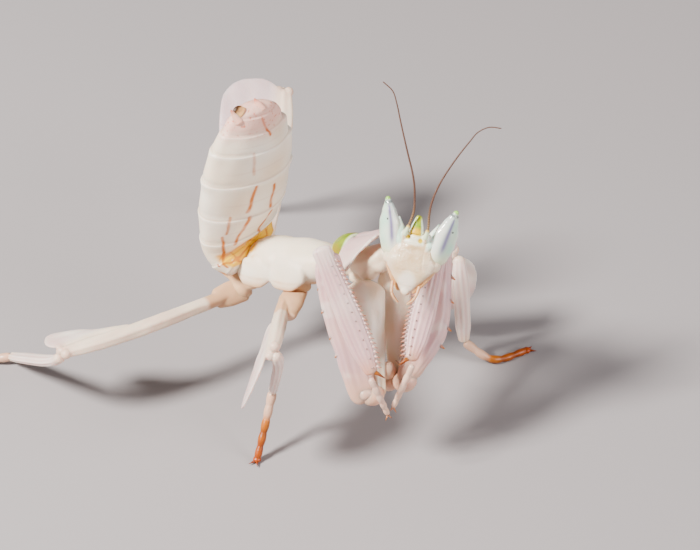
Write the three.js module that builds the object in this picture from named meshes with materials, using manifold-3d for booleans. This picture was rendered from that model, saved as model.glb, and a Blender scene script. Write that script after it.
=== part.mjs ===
// Orchid mantis nymph, life size, standing on the floor. Millimetres, +Z up.
// It faces -Y, its right side is -X, and the feet rest on z = 0.
import * as THREE from "three";
import { mergeVertices } from "three/addons/utils/BufferGeometryUtils.js";
import Module from "manifold-3d";

const wasm = await Module();
wasm.setup();

// Driving dimensions, in millimetres and degrees.
const seam = 0.3; // clearance left between touching pieces
const body = {
  pivotY: -1.6, // the crease above which the abdomen turns up
  pivotZ: 13.8,
  depth: 4.1, // thorax from back to breast
  width: 4.9, // thorax across the wing pads
  mesoLength: 8.7,
  pitch: 16, // rise of the thorax towards the head
};
const neck = {
  pitch: 36, // rise of the prothorax
  yaw: 12, // turn of the prothorax to the right
  length: 7.4,
  width: 3.3,
  shieldWidth: 8.2,
};
const abdomen = { length: 18.6, width: 9.4, depth: 4.8, lean: 8, twist: 22 };
const headSize = {
  faceHeight: 6.1, // mouth to the top of the face
  faceWidth: 5.2,
  eyeTipHeight: 8.5, // mouth to the eye tips
  eyeTipSpan: 6.4, // between the eye tips
  hornHeight: 7.4,
  depth: 2.6,
  heading: 71, // turned to the right of the walking line
  nod: 24, // the face looks up by this much
  roll: 4.5, // crown leans to its left
};
const foreLeg = { coxa: 10.6, femur: 13.3, tibia: 11.2, femurInner: 1.2, tibiaWidth: 2.3 };
const midLeg = { femur: 13.9, tibia: 9.2 };
const hindLeg = { femur: 18.6, tibia: 12.8 };
const footRadius = 0.36;

const colors = {
  ivory: 0xeee6da,
  cream: 0xe4d5c4,
  blush: 0xdfd0d2,
  lilac: 0xd8c2cb,
  amber: 0x9c5a3a,
  leaf: 0x7f9a2c,
  pearl: 0xd4e0d8,
  rust: 0x4a2a22,
  rose: 0xe3b9b4,
};

const part = new THREE.Group();
const rad = THREE.MathUtils.degToRad;
const v3 = (x, y, z) => new THREE.Vector3(x, y, z);
const upward = v3(0, 0, 1);

// Unit vector turned outward by heading from straight ahead, and raised by rise.
function direction(side, heading, rise) {
  const flat = Math.cos(rad(rise));
  return v3(side * Math.sin(rad(heading)) * flat, -Math.cos(rad(heading)) * flat, Math.sin(rad(rise)));
}

function along(start, dir, length) {
  return start.clone().addScaledVector(dir, length);
}

function merged(geometry) {
  const bare = geometry.index ? geometry.clone() : geometry;
  bare.deleteAttribute("normal");
  bare.deleteAttribute("uv");
  return mergeVertices(bare, 1e-4);
}

function solid(geometry) {
  const clean = merged(geometry);
  const position = clean.attributes.position;
  let index = Array.from(clean.index.array);
  index = index.filter((v, i) => {
    const face = i - (i % 3);
    const [a, b, c] = [index[face], index[face + 1], index[face + 2]];
    return a !== b && b !== c && c !== a;
  });
  let volume = 0;
  const [p, q, r] = [v3(0, 0, 0), v3(0, 0, 0), v3(0, 0, 0)];
  for (let i = 0; i < index.length; i += 3) {
    p.fromBufferAttribute(position, index[i]);
    q.fromBufferAttribute(position, index[i + 1]);
    r.fromBufferAttribute(position, index[i + 2]);
    volume += p.dot(q.cross(r));
  }
  if (volume < 0) index.reverse();
  const mesh = new wasm.Mesh({
    numProp: 3,
    vertProperties: new Float32Array(position.array),
    triVerts: new Uint32Array(index),
  });
  return new wasm.Manifold(mesh);
}

function geometryOf(manifold) {
  const mesh = manifold.getMesh();
  const geometry = new THREE.BufferGeometry();
  geometry.setAttribute("position", new THREE.BufferAttribute(new Float32Array(mesh.vertProperties), 3));
  geometry.setIndex(new THREE.BufferAttribute(new Uint32Array(mesh.triVerts), 1));
  return geometry;
}

function add(name, shape, color, roughness = 0.5) {
  const geometry = geometryOf(shape);
  geometry.computeVertexNormals();
  const material = new THREE.MeshStandardMaterial({ color, roughness, metalness: 0 });
  const mesh = new THREE.Mesh(geometry, material);
  mesh.name = name;
  part.add(mesh);
}

function join(shapes) {
  return shapes.reduce((sum, shape) => sum.add(shape));
}

// Smooth value at t from keys of [t, value].
function keyed(keys, t) {
  if (t <= keys[0][0]) return keys[0][1];
  for (let i = 1; i < keys.length; i += 1) {
    if (t <= keys[i][0]) {
      const k = (t - keys[i - 1][0]) / (keys[i][0] - keys[i - 1][0]);
      const ease = k * k * (3 - 2 * k) * 0.5 + k * 0.5;
      return keys[i - 1][1] + (keys[i][1] - keys[i - 1][1]) * ease;
    }
  }
  return keys[keys.length - 1][1];
}

// A body swept along a curve: half widths to the side, up and down change with t.
function sweep({ curve, wide, high, low = high, up = upward, sides = 10, rings = 10, from = 0, to = 1 }) {
  const profile = [new THREE.Vector2(0, 0)];
  for (let i = 0; i <= rings; i += 1) profile.push(new THREE.Vector2(1, i / rings));
  profile.push(new THREE.Vector2(0, 1));
  const geometry = new THREE.LatheGeometry(profile, sides);
  const position = geometry.attributes.position;
  const turn = typeof up === "function" ? up : () => up;
  for (let i = 0; i < position.count; i += 1) {
    const t = position.getY(i);
    const place = from + (to - from) * t;
    const center = curve.getPointAt(Math.min(1, Math.max(0, place)));
    const forward = curve.getTangentAt(Math.min(1, Math.max(0, place)));
    const side = forward.clone().cross(turn(place)).normalize();
    const top = side.clone().cross(forward);
    const sine = position.getX(i);
    const cosine = position.getZ(i);
    const reach = Math.hypot(sine, cosine);
    const rise = cosine >= 0 ? keyed(high, t) : keyed(low, t);
    if (reach > 1e-6) {
      center.addScaledVector(side, sine * keyed(wide, t));
      center.addScaledVector(top, cosine * rise);
    }
    position.setXYZ(i, center.x, center.y, center.z);
  }
  return solid(geometry);
}

const line = (a, b) => new THREE.LineCurve3(a, b);
const bend = (...points) => new THREE.CatmullRomCurve3(points, false, "centripetal");

// A thorn from root towards tip, with four sides.
function thorn(root, tip, radius) {
  const dir = tip.clone().sub(root);
  const geometry = new THREE.ConeGeometry(radius, dir.length(), 4);
  geometry.translate(0, dir.length() / 2, 0);
  geometry.applyQuaternion(new THREE.Quaternion().setFromUnitVectors(v3(0, 1, 0), dir.normalize()));
  geometry.translate(root.x, root.y, root.z);
  return solid(geometry);
}

// A thin petal round a middle line, its half widths from keys, rounded at the far end.
function petal({ from, to, normal, keys, thick, round, steps = 13 }) {
  const axis = to.clone().sub(from);
  const length = axis.length();
  axis.normalize();
  const across = normal.clone().cross(axis).normalize();
  const facing = axis.clone().cross(across);
  const half = (t) => {
    const shut = Math.max(0, 1 - ((1 - t) * length) / round);
    return keyed(keys, t) * Math.sqrt(1 - shut * shut);
  };
  const outline = new THREE.Shape();
  outline.moveTo(0, -keys[0][1]);
  const places = [];
  for (let i = 1; i <= steps; i += 1) places.push(1 - (1 - i / steps) ** 1.6);
  for (const t of places) outline.lineTo(t * length, -half(t));
  for (const t of places.slice(0, -1).reverse()) outline.lineTo(t * length, half(t));
  outline.lineTo(0, keys[0][1]);
  const geometry = new THREE.ExtrudeGeometry(outline, { depth: thick, bevelEnabled: false, steps: 1 });
  geometry.translate(0, 0, -thick / 2);
  geometry.applyMatrix4(new THREE.Matrix4().makeBasis(axis, across, facing));
  geometry.translate(from.x, from.y, from.z);
  return solid(geometry);
}

function floorCut(shape) {
  const below = new THREE.BoxGeometry(120, 120, 10);
  below.translate(0, 0, -5);
  return shape.subtract(solid(below));
}

// Thorax: mesothorax and metathorax in line, with four wing pads on their sides.
const rise = direction(1, 0, body.pitch);
const pivot = v3(0, body.pivotY, body.pivotZ);
const halfDepth = body.depth / 2;
const bendAt = (angle, radius = halfDepth) => {
  const turn = rad(angle - body.pitch);
  return v3(0, pivot.y + radius * Math.sin(turn), pivot.z - radius * Math.cos(turn));
};
const thoraxRear = bendAt(0);
const thoraxFront = along(thoraxRear, rise, body.mesoLength);
const thoraxLine = bend(bendAt(24), bendAt(18), bendAt(9), thoraxRear, thoraxFront);
const halfWidth = body.width / 2;
add(
  "metathorax",
  sweep({
    curve: thoraxLine,
    wide: [[0, 2.1], [0.3, halfWidth - 0.2], [0.8, halfWidth - 0.3], [1, 1.9]],
    high: [[0, 1.6], [0.5, 1.9], [1, 1.95]],
    low: [[0, 1.9], [0.5, 2.1], [1, 1.9]],
    from: 0,
    to: 0.42,
    rings: 5,
    sides: 12,
  }),
  colors.ivory,
);
add(
  "mesothorax",
  sweep({
    curve: thoraxLine,
    wide: [[0, 1.9], [0.25, halfWidth - 0.3], [0.7, 2.0], [1, 1.35]],
    high: [[0, 1.95], [0.6, 1.8], [1, 1.3]],
    low: [[0, 1.9], [0.6, 1.9], [1, 1.3]],
    from: 0.42 + seam / thoraxLine.getLength(),
    to: 1,
    rings: 6,
    sides: 12,
  }),
  colors.ivory,
);

// A wing pad: a thin scale that lies on the flank and points back and down.
function wingPad(side, place, length, width) {
  const root = thoraxLine.getPointAt(place);
  root.add(v3(side * (halfWidth + 0.25), 0, 0.1));
  const tip = root.clone().add(v3(side * 0.3, length * 0.96, -length * 0.32));
  return sweep({
    curve: bend(root, root.clone().lerp(tip, 0.5).add(v3(side * 0.15, 0, 0.1)), tip),
    up: v3(side, 0, 0.25),
    wide: [[0, width * 0.55], [0.5, width], [0.85, width * 0.72], [1, width * 0.25]],
    high: [[0, 0.3], [1, 0.26]],
    rings: 6,
    sides: 8,
  });
}
for (const [label, side] of [["right", -1], ["left", 1]]) {
  add(`forewing_pad_${label}`, wingPad(side, 0.77, 3.6, 1.15), colors.ivory);
  add(`hindwing_pad_${label}`, wingPad(side, 0.34, 3.2, 1.1), colors.ivory);
}

// Prothorax: it rises and turns to the right, with a green collar and a broad shield on top.
const neckDir = direction(-1, neck.yaw, neck.pitch);
const neckRoot = along(thoraxFront, neckDir, 0.75).add(v3(0, 0, 0.1));
const neckTip = along(neckRoot, neckDir, neck.length);
const neckLine = line(neckRoot, neckTip);
const neckSide = upward.clone().cross(neckDir).normalize(); // towards its left
const neckUp = neckDir.clone().cross(neckSide);
add(
  "prothorax",
  sweep({
    curve: neckLine,
    wide: [[0, 1.0], [0.2, 1.3], [0.6, neck.width / 2], [0.9, 1.6], [1, 0.9]],
    high: [[0, 0.8], [1, 0.8]],
    low: [[0, 1.0], [0.5, 1.8], [0.9, 1.6], [1, 0.9]],
    rings: 7,
    sides: 10,
  }),
  colors.cream,
);

// A saddle over the prothorax, open below: a bent plate of even thickness.
function saddle(place, length, half, drop, thick, lift, steps = 8) {
  const outline = new THREE.Shape();
  const arch = (k) => lift - drop * Math.abs(k) ** 2.2;
  outline.moveTo(-half, arch(-1) - thick);
  for (let i = 0; i <= steps; i += 1) {
    const k = (2 * i) / steps - 1;
    outline.lineTo(k * half, arch(k));
  }
  for (let i = steps; i >= 1; i -= 1) {
    const k = (2 * i) / steps - 1;
    outline.lineTo(k * half * 0.97, arch(k) - thick);
  }
  const geometry = new THREE.ExtrudeGeometry(outline, { depth: length, bevelEnabled: false, steps: 1 });
  geometry.applyMatrix4(new THREE.Matrix4().makeBasis(neckSide, neckUp, neckDir));
  const root = along(neckRoot, neckDir, place);
  geometry.translate(root.x, root.y, root.z);
  return solid(geometry);
}

// The shield's outline seen from above, used to trim the saddle.
function shieldOutline(length, half) {
  const outline = new THREE.Shape();
  outline.moveTo(-half, 0.3);
  outline.quadraticCurveTo(-half * 0.5, 0.55, 0, 0.1);
  outline.quadraticCurveTo(half * 0.5, 0.55, half, 0.3);
  outline.quadraticCurveTo(half * 1.02, length * 0.45, half * 0.5, length * 0.82);
  outline.quadraticCurveTo(half * 0.35, length, 0, length);
  outline.quadraticCurveTo(-half * 0.35, length, -half * 0.5, length * 0.82);
  outline.quadraticCurveTo(-half * 1.02, length * 0.45, -half, 0.3);
  const settings = { depth: 12, bevelEnabled: false, steps: 1, curveSegments: 5 };
  const geometry = new THREE.ExtrudeGeometry(outline, settings);
  geometry.translate(0, 0, -6);
  geometry.applyMatrix4(new THREE.Matrix4().makeBasis(neckSide, neckDir, neckUp.clone().negate()));
  const root = along(neckRoot, neckDir, 1.8);
  geometry.translate(root.x, root.y, root.z);
  return solid(geometry);
}
const shieldHalf = neck.shieldWidth / 2;
add(
  "pronotum_shield",
  saddle(1.5, neck.length - 1.5, shieldHalf, 2.4, 0.6, 2.1).intersect(shieldOutline(5.7, shieldHalf - 0.05)),
  colors.blush,
);
add("pronotum_collar", saddle(0.3, 1.35, 2.5, 2.1, 0.65, 2.3), colors.leaf);

// Abdomen: turned up over the back, then nearly upright, in seven lengths and a tip.
const waist = [45, 51, 62, 76, 90].map((angle) => bendAt(angle, 2.35));
const turned = bendAt(90 + body.pitch, 2.35);
const spine = direction(1, abdomen.lean > 0 ? 0 : 180, 90 - Math.abs(abdomen.lean));
const crown = along(turned, spine, abdomen.length - 3.4);
const abdomenLine = bend(...waist, turned, along(turned, spine, 5), along(turned, spine, 10), crown);
const dorsal = (place) => {
  const twist = rad(abdomen.twist * Math.min(1, place * 2.5));
  const inward = pivot.clone().sub(abdomenLine.getPointAt(place)).setX(0).normalize();
  const turning = Math.max(0, 1 - place / 0.16);
  const back = v3(-Math.sin(twist), -Math.cos(twist), 0);
  return back.lerp(inward, turning).normalize();
};
const girth = [[0, 0.8], [0.1, 0.95], [0.22, 1], [0.4, 1], [0.62, 0.98], [0.78, 0.8], [0.9, 0.52], [1, 0.3]];
const bulk = [[0, 0.82], [0.2, 0.95], [0.5, 1], [0.75, 0.85], [0.9, 0.6], [1, 0.36]];
const back = [[0, 0.5], [0.1, 0.6], [0.2, 0.86], [0.35, 1], [0.5, 1], [0.75, 0.85], [0.9, 0.6], [1, 0.36]];
const rings = [0, 0.09, 0.21, 0.365, 0.575, 0.76, 0.865, 0.957, 1];
for (let i = 0; i < rings.length - 1; i += 1) {
  const from = rings[i] + (i > 0 ? seam / abdomenLine.getLength() : 0);
  const to = rings[i + 1];
  const scaled = (keys, size) => [0, 0.25, 0.5, 0.75, 1].map((t) => {
    const value = keyed(keys, from + (to - from) * t) * size;
    return [t, value + 0.12 * t];
  });
  const last = i === rings.length - 2;
  add(
    last ? "abdomen_tip" : `abdomen_${i + 1}`,
    sweep({
      curve: abdomenLine,
      wide: scaled(girth, abdomen.width / 2),
      high: scaled(back, abdomen.depth / 2),
      low: scaled(bulk, abdomen.depth / 2),
      up: dorsal,
      from,
      to,
      rings: 3,
      sides: 16,
    }),
    last ? colors.rose : colors.ivory,
  );
}

// Cerci and the two pink points beside them, standing above the tip.
const tipSide = v3(Math.cos(rad(abdomen.twist)), -Math.sin(rad(abdomen.twist)), 0);
for (const [label, side] of [["right", -1], ["left", 1]]) {
  const root = along(crown, tipSide, side * 0.75).add(v3(0, -0.1, 0.36));
  add(
    `cercus_${label}`,
    sweep({
      curve: line(root, root.clone().add(v3(side * 0.25, -0.15, 0.85))),
      wide: [[0, 0.42], [0.6, 0.36], [1, 0.25]],
      high: [[0, 0.42], [0.6, 0.36], [1, 0.25]],
      up: v3(0, 1, 0),
      rings: 3,
      sides: 8,
    }),
    colors.rose,
  );
}

// Head: a narrow wedge from mouth to crown, eyes as upright cones, and a horn between them.
const faceDir = direction(-1, headSize.heading, headSize.nod);
const plumb = upward.clone().addScaledVector(faceDir, -faceDir.z).normalize();
const level = plumb.clone().cross(faceDir);
const tilt = rad(headSize.roll);
const leftward = level.clone().multiplyScalar(Math.cos(tilt)).addScaledVector(plumb, -Math.sin(tilt));
const crownward = plumb.clone().multiplyScalar(Math.cos(tilt)).addScaledVector(level, Math.sin(tilt));
const faceRoot = along(neckTip, faceDir, 2.6).add(v3(0, -2.0, 0.4));
const mouth = along(along(faceRoot, crownward, -3.1), leftward, 0.54);
const onHead = (left, up, front) => {
  const spot = along(mouth, leftward, left);
  return along(along(spot, crownward, up), faceDir, front);
};
const nape = along(along(mouth, crownward, 3.4), faceDir, -1.98);
add(
  "cervix",
  sweep({
    curve: line(along(neckTip, neckDir, seam + 0.15), nape),
    wide: [[0, 0.75], [1, 0.7]],
    high: [[0, 0.7], [1, 0.65]],
    rings: 2,
    sides: 8,
  }),
  colors.cream,
);
const faceHalf = headSize.faceWidth / 2;
add(
  "head",
  sweep({
    curve: bend(onHead(0, 0.25, 0), onHead(0, 3, 0.1), onHead(0, headSize.faceHeight, -0.3)),
    wide: [[0, 0.45], [0.15, 0.85], [0.4, faceHalf * 0.64], [0.65, 1.25], [0.85, 1.05], [1, 0.8]],
    high: [[0, 0.4], [0.2, 0.85], [0.5, 1.1], [0.8, 0.95], [1, 0.5]],
    low: [[0, 0.35], [0.2, 0.75], [0.5, headSize.depth - 1.4], [0.8, 1.1], [1, 0.6]],
    up: faceDir,
    rings: 9,
    sides: 12,
  }),
  colors.cream,
);
for (const [label, side] of [["right", -1], ["left", 1]]) {
  const root = onHead(side * 2.0, 2.6, -0.6);
  const middle = onHead(side * 2.45, 5.2, -0.6);
  const tip = onHead((side * headSize.eyeTipSpan) / 2, headSize.eyeTipHeight, -0.4);
  const outward = along(faceDir, leftward, side * 0.85);
  add(
    `eye_${label}`,
    sweep({
      curve: bend(root, onHead(side * 2.12, 3.6, -0.65), middle, onHead(side * 2.85, 7.1, -0.5), tip),
      wide: [[0, 0.3], [0.15, 0.95], [0.4, 1.22], [0.6, 1.15], [0.8, 0.68], [0.92, 0.36], [1, 0.26]],
      high: [[0, 0.3], [0.2, 0.6], [0.45, 0.7], [0.65, 0.66], [0.85, 0.42], [1, 0.26]],
      up: outward,
      rings: 9,
      sides: 12,
    }),
    colors.pearl,
    0.2,
  );
}
add(
  "vertex_horn",
  sweep({
    curve: line(onHead(0, headSize.faceHeight + seam, -0.2), onHead(0, headSize.hornHeight, 0)),
    wide: [[0, 0.62], [0.5, 0.45], [1, 0.26]],
    high: [[0, 0.42], [1, 0.26]],
    up: faceDir,
    rings: 3,
    sides: 8,
  }),
  colors.leaf,
);
for (const [label, side] of [["right", -1], ["left", 1]]) {
  const palpRoot = onHead(side * 1.35, 1.1, 1.25);
  const palpTip = onHead(side * 0.45, -0.75, 0.9);
  add(
    `palp_${label}`,
    sweep({
      curve: bend(palpRoot, onHead(side * 1.1, 0.0, 1.3), palpTip),
      wide: [[0, 0.26], [1, 0.25]],
      high: [[0, 0.26], [1, 0.25]],
      up: faceDir,
      rings: 4,
      sides: 6,
    }),
    colors.amber,
  );
}

// Antennae: long curved threads, bearings measured from the crown line towards its left.
function antenna(side, length, bearing) {
  const points = [onHead(side * 0.95, 5.75, 0.85)];
  const steps = 12;
  for (let i = 1; i <= steps; i += 1) {
    const angle = rad(keyed(bearing, (i - 0.5) / steps));
    const step = leftward.clone().multiplyScalar(Math.sin(angle)).addScaledVector(crownward, Math.cos(angle));
    points.push(along(points[i - 1], step, length / steps));
  }
  return sweep({
    curve: bend(...points),
    wide: [[0, 0.32], [0.08, 0.27], [1, 0.25]],
    high: [[0, 0.32], [0.08, 0.27], [1, 0.25]],
    up: faceDir,
    rings: 16,
    sides: 6,
  });
}
const sway = {
  right: [[0, 16], [0.1, 12], [0.2, -6], [0.45, -24], [0.8, -22], [0.9, -30], [1, -75]],
  left: [[0, 12], [0.12, -6], [0.2, 0], [0.35, 15], [0.5, 23], [0.8, 30], [0.9, 60], [1, 98]],
};
add("antenna_right", antenna(-1, 14.6, sway.right), colors.rust);
add("antenna_left", antenna(1, 13.4, sway.left), colors.rust);

const scaledBy = (size, keys) => keys.map(([t, value]) => [t, value * size]);

// A straight limb piece between two points, trimmed by a gap at its ends.
function rod(a, b, sizes, options = {}) {
  const length = a.distanceTo(b);
  const trim = (options.gap ?? 0.5 * seam) / length;
  return sweep({
    curve: line(a, b),
    wide: sizes.wide,
    high: sizes.high ?? sizes.wide,
    low: sizes.low ?? sizes.high ?? sizes.wide,
    up: options.up ?? upward,
    from: trim,
    to: 1 - (options.endGap ?? options.gap ?? 0.5 * seam) / length,
    rings: options.rings ?? 5,
    sides: options.sides ?? 8,
  });
}

// A tarsus of five joints that thins towards two claws, with flats where it meets the floor.
function tarsus(ankle, middle, tip, start) {
  const lumps = [];
  for (let i = 0; i <= 12; i += 1) {
    const t = i / 12;
    const bead = 0.07 * Math.abs(Math.sin(Math.PI * t * 5));
    lumps.push([t, start + (0.3 - start) * t + bead]);
  }
  const toe = tip.clone().setZ(footRadius - 0.12);
  const stem = sweep({
    curve: bend(ankle, middle, toe),
    wide: lumps,
    high: lumps,
    rings: 12,
    sides: 8,
    from: 0.04,
  });
  const ahead = toe.clone().sub(middle).setZ(0).normalize();
  const aside = v3(-ahead.y, ahead.x, 0);
  const pad = new THREE.SphereGeometry(0.42, 8, 6);
  pad.scale(1, 1, 0.9);
  pad.translate(toe.x, toe.y, footRadius - 0.1);
  const claws = [-1, 1].map((side) => {
    const root = along(toe, ahead, 0.1);
    const end = along(along(root, ahead, 0.75), aside, side * 0.45).setZ(0.25);
    return thorn(root, end, 0.26);
  });
  return floorCut(join([stem, solid(pad), ...claws]));
}

// Raptorial legs, folded: the coxa points down and forward, the femur back up, the tibia lies on it.
const seizing = [
  {
    label: "fore_right", side: -1, hip: -1.55, coxa: [44, -48], shift: 0.85,
    coxaKeys: [[0, 1.2], [0.13, 2.0], [0.45, 1.46], [0.92, 0.65], [1, 0.5]],
    base: v3(-1.6, 1.7, 0.83), femur: [207, 59], face: v3(-0.67, -0.5, 0.55), inner: 1, spine: 0.3,
    bow: [[-0.07, 0.7], [0, 1.4], [0.3, 1.6], [0.6, 1.7], [0.85, 1.4], [1, 0.8]],
    tibia: [20, -52], above: 1.35, shin: -0.25, heel: -0.25, toe: v3(-1.15, -1.5, -0.55),
  },
  {
    label: "fore_left", side: 1, hip: 1.55, coxa: [-53, -48.5], shift: 0,
    coxaKeys: [[0, 0.9], [0.15, 1.6], [0.5, 1.15], [0.9, 0.7], [1, 0.5]],
    base: v3(-1.0, -1.4, 1.4), femur: [100, 40], face: v3(-0.67, -0.42, 0.61), inner: -1, spine: 0.6,
    bow: [[-0.03, 0.2], [0.12, 1.11], [0.26, 1.78], [0.37, 2.08], [0.5, 1.96], [0.7, 1.26], [1, 0.1]],
    tibia: [-80, -35], above: 0, shin: 0.8, heel: 0.1, toe: v3(-2.35, -0.62, -1.1),
  },
];

for (const leg of seizing) {
  const { label, side } = leg;
  const socket = along(along(neckRoot, neckDir, neck.length * 0.62), neckSide, leg.hip);
  socket.addScaledVector(neckUp, -1.9);
  const coxaDir = direction(side, ...leg.coxa);
  const face = leg.face.clone().normalize();
  const base = along(socket, coxaDir, foreLeg.coxa).add(leg.base);
  socket.addScaledVector(coxaDir.clone().cross(face).normalize(), leg.shift);
  const hinge = along(socket, coxaDir, foreLeg.coxa);
  add(
    `coxa_${label}`,
    rod(socket, hinge, {
      wide: leg.coxaKeys,
      high: [[0, 0.7], [0.2, 1.1], [0.9, 0.6], [1, 0.45]],
    }, { up: face, rings: 7, sides: 10, gap: 0.1 }),
    colors.ivory,
  );
  const femurDir = direction(side, ...leg.femur);
  const knee = along(base, femurDir, foreLeg.femur);
  const across = femurDir.clone().cross(face).normalize().multiplyScalar(leg.inner);
  const onFemur = (t, aside) => along(along(base, femurDir, foreLeg.femur * t), across, aside);
  const inner = foreLeg.femurInner;
  const [first, last] = [leg.bow[0][0], leg.bow[leg.bow.length - 1][0]];
  const femur = sweep({
    curve: bend(...leg.bow.map(([t, outer]) => onFemur(t, (inner - outer) / 2))),
    wide: leg.bow.map(([t, outer]) => [(t - first) / (last - first), (inner + outer) / 2]),
    high: [[0, 0.4], [0.1, 0.62], [0.8, 0.55], [1, 0.45]],
    up: face,
    rings: 9,
    sides: 10,
  });
  const spines = [0.3, 0.43, 0.62, 0.78].map((t) => {
    const root = onFemur(t, 0.1 - keyed(leg.bow, t));
    return thorn(root, along(along(root, across, -leg.spine), femurDir, -0.2), 0.27);
  });
  add(`femur_${label}`, join([femur, ...spines]), colors.blush);

  const tibiaDir = direction(side, ...leg.tibia);
  const shinAcross = tibiaDir.clone().cross(face).normalize().multiplyScalar(-leg.inner);
  const shinMiddle = along(along(knee, face, 1.5), femurDir, -0.5);
  const heel = along(along(shinMiddle, tibiaDir, foreLeg.tibia), shinAcross, leg.heel);
  const shin = along(along(shinMiddle, tibiaDir, -leg.above), shinAcross, leg.shin);
  const shinWidth = foreLeg.tibiaWidth / 2;
  const shinKeys = [[0, shinWidth * 0.7], [0.3, shinWidth], [0.75, shinWidth * 0.9], [1, shinWidth * 0.5]];
  const blade = rod(shin, heel, {
    wide: shinKeys,
    high: [[0, 0.5], [0.3, 0.5], [1, 0.35]],
  }, { up: face, rings: 7, sides: 8, gap: 0 });
  const teeth = [];
  for (let i = 0; i < 11; i += 1) {
    const t = 0.16 + (0.76 * i) / 10;
    const root = along(shin.clone().lerp(heel, t), shinAcross, keyed(shinKeys, t) - 0.25);
    teeth.push(thorn(root, along(along(root, shinAcross, 0.75), tibiaDir, 0.5), 0.26));
  }
  const foot = along(along(heel, shinAcross, -0.3), tibiaDir, 0.35);
  const toe = hinge.clone().add(leg.toe);
  add(
    `tarsus_${label}`,
    sweep({
      curve: bend(foot, foot.clone().lerp(toe, 0.5).addScaledVector(face, 0.4), toe),
      wide: [[0, 0.32], [0.4, 0.36], [1, 0.28]],
      high: [[0, 0.32], [0.4, 0.36], [1, 0.28]],
      up: face,
      rings: 5,
      sides: 8,
    }),
    colors.amber,
  );
  const claw = thorn(along(heel, tibiaDir, -0.6), along(along(heel, tibiaDir, 0.7), shinAcross, 0.9), 0.36);
  add(`tibia_${label}`, join([blade, claw, ...teeth]), colors.lilac);
}

// Walking legs. Each joint is found from the lengths above and the angles given here.
// A lobe runs between two places on the femur, each given as [ahead of the hip, out from the shaft].
const midLobe = {
  from: [5, 1.2], to: [15.5, 4.05], round: 2,
  keys: [[0, 0.5], [0.4, 2.2], [0.75, 3], [1, 2.9]],
};
const walking = [
  {
    label: "mid_right", side: -1, size: midLeg, hip: v3(-2.35, -6.0, 10.1), thick: 0.75, sag: 0,
    femur: [62, 16.3], tibia: [228, -59.5], middle: [83, 1.75, 2.9], toe: [83, 3.5],
    lobeOut: v3(-0.41, 0.2, -0.9), lobe: midLobe,
  },
  {
    label: "mid_left", side: 1, size: midLeg, hip: v3(2.35, -6.0, 10.1), thick: 0.75, sag: 0,
    femur: [37.6, 3.8], tibia: [-34, -80], middle: [17, 2.9, 0.5], toe: [40.6, 6.2],
    lobeOut: v3(-0.06, -0.11, -1), lobe: midLobe,
  },
  {
    label: "hind_right", side: -1, size: hindLeg, hip: v3(-2.2, -0.1, 8), thick: 0.8, sag: -0.7,
    femur: [116.2, 1.3], tibia: [205.2, -32.4], middle: [148, 3.2, 0.4], toe: [148, 7.6],
    lobeOut: v3(0.6, 0.7, -0.28),
    lobe: {
      from: [11.3, -0.6], to: [18.9, 2.7], round: 1.3,
      keys: [[0, 0.4], [0.37, 0.6], [0.61, 1.5], [1, 1.9]],
    },
  },
  {
    label: "hind_left", side: 1, size: hindLeg, hip: v3(2.2, -0.1, 8), thick: 0.8, sag: -0.5,
    femur: [113.7, 35.4], tibia: [185.5, -67.7], middle: [150, 1.8, 2.5], toe: [150, 4.4],
    lobeOut: v3(-0.44, 0.89, 0.06),
    lobe: {
      from: [7, 1.3], to: [19.2, 3.2], round: 2.4,
      keys: [[0, 0.5], [0.2, 2.2], [0.45, 3.4], [0.6, 3.4], [1, 2.9]],
    },
  },
];

for (const leg of walking) {
  const { label, side, size, hip, thick, lobe } = leg;
  const femurDir = direction(side, ...leg.femur);
  const knee = along(hip, femurDir, size.femur);
  const tibiaDir = direction(side, ...leg.tibia);
  const lobeFace = femurDir.clone().cross(leg.lobeOut).normalize().multiplyScalar(side);
  const lobeAcross = lobeFace.clone().cross(femurDir).multiplyScalar(side);
  const shin = along(knee, lobeFace, -0.7);
  const ankle = along(shin, tibiaDir, size.tibia);
  const onFloor = ([heading, reach, height = 0]) => {
    return along(ankle, direction(side, heading, 0), reach).setZ(height);
  };

  // The coxa hangs from the flank and ends at the hip.
  const socket = v3(side * 1.35, hip.y - 0.8, hip.z + 0.6);
  add(
    `coxa_${label}`,
    rod(socket, hip, { wide: [[0, 0.9], [0.45, 1.25], [1, 0.65]] }, { gap: 0 }),
    colors.cream,
  );
  const belly = along(hip.clone().lerp(knee, 0.62), lobeAcross, leg.sag);
  const shaft = sweep({
    curve: bend(along(hip, femurDir, 1.2), belly, along(knee, femurDir, -0.2)),
    wide: scaledBy(thick, [[0, 0.8], [0.2, 1], [0.6, 1.2], [0.85, 1.4], [0.95, 1.1], [1, 0.7]]),
    high: scaledBy(thick, [[0, 0.75], [0.5, 0.9], [0.8, 0.85], [1, 0.65]]),
    up: lobeFace,
    rings: 7,
    sides: 8,
  });
  const lobeRoot = along(hip, lobeFace, 0.45);
  const onLobe = ([ahead, across]) => along(along(lobeRoot, femurDir, ahead), lobeAcross, across);
  const leaf = petal({
    from: onLobe(lobe.from),
    to: onLobe(lobe.to),
    normal: lobeFace,
    keys: lobe.keys,
    thick: 0.6,
    round: lobe.round,
  });
  add(`femur_${label}`, join([shaft, leaf]), colors.blush);
  add(
    `tibia_${label}`,
    rod(shin, ankle, {
      wide: scaledBy(thick, [[0, 0.7], [0.3, 1.05], [0.8, 0.95], [1, 0.62]]),
      high: scaledBy(thick, [[0, 0.62], [0.3, 0.68], [1, 0.58]]),
    }, { up: lobeFace, gap: 0.9 }),
    colors.blush,
  );
  add(`tarsus_${label}`, tarsus(ankle, onFloor(leg.middle), onFloor(leg.toe), 0.4), colors.amber);
}

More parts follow.
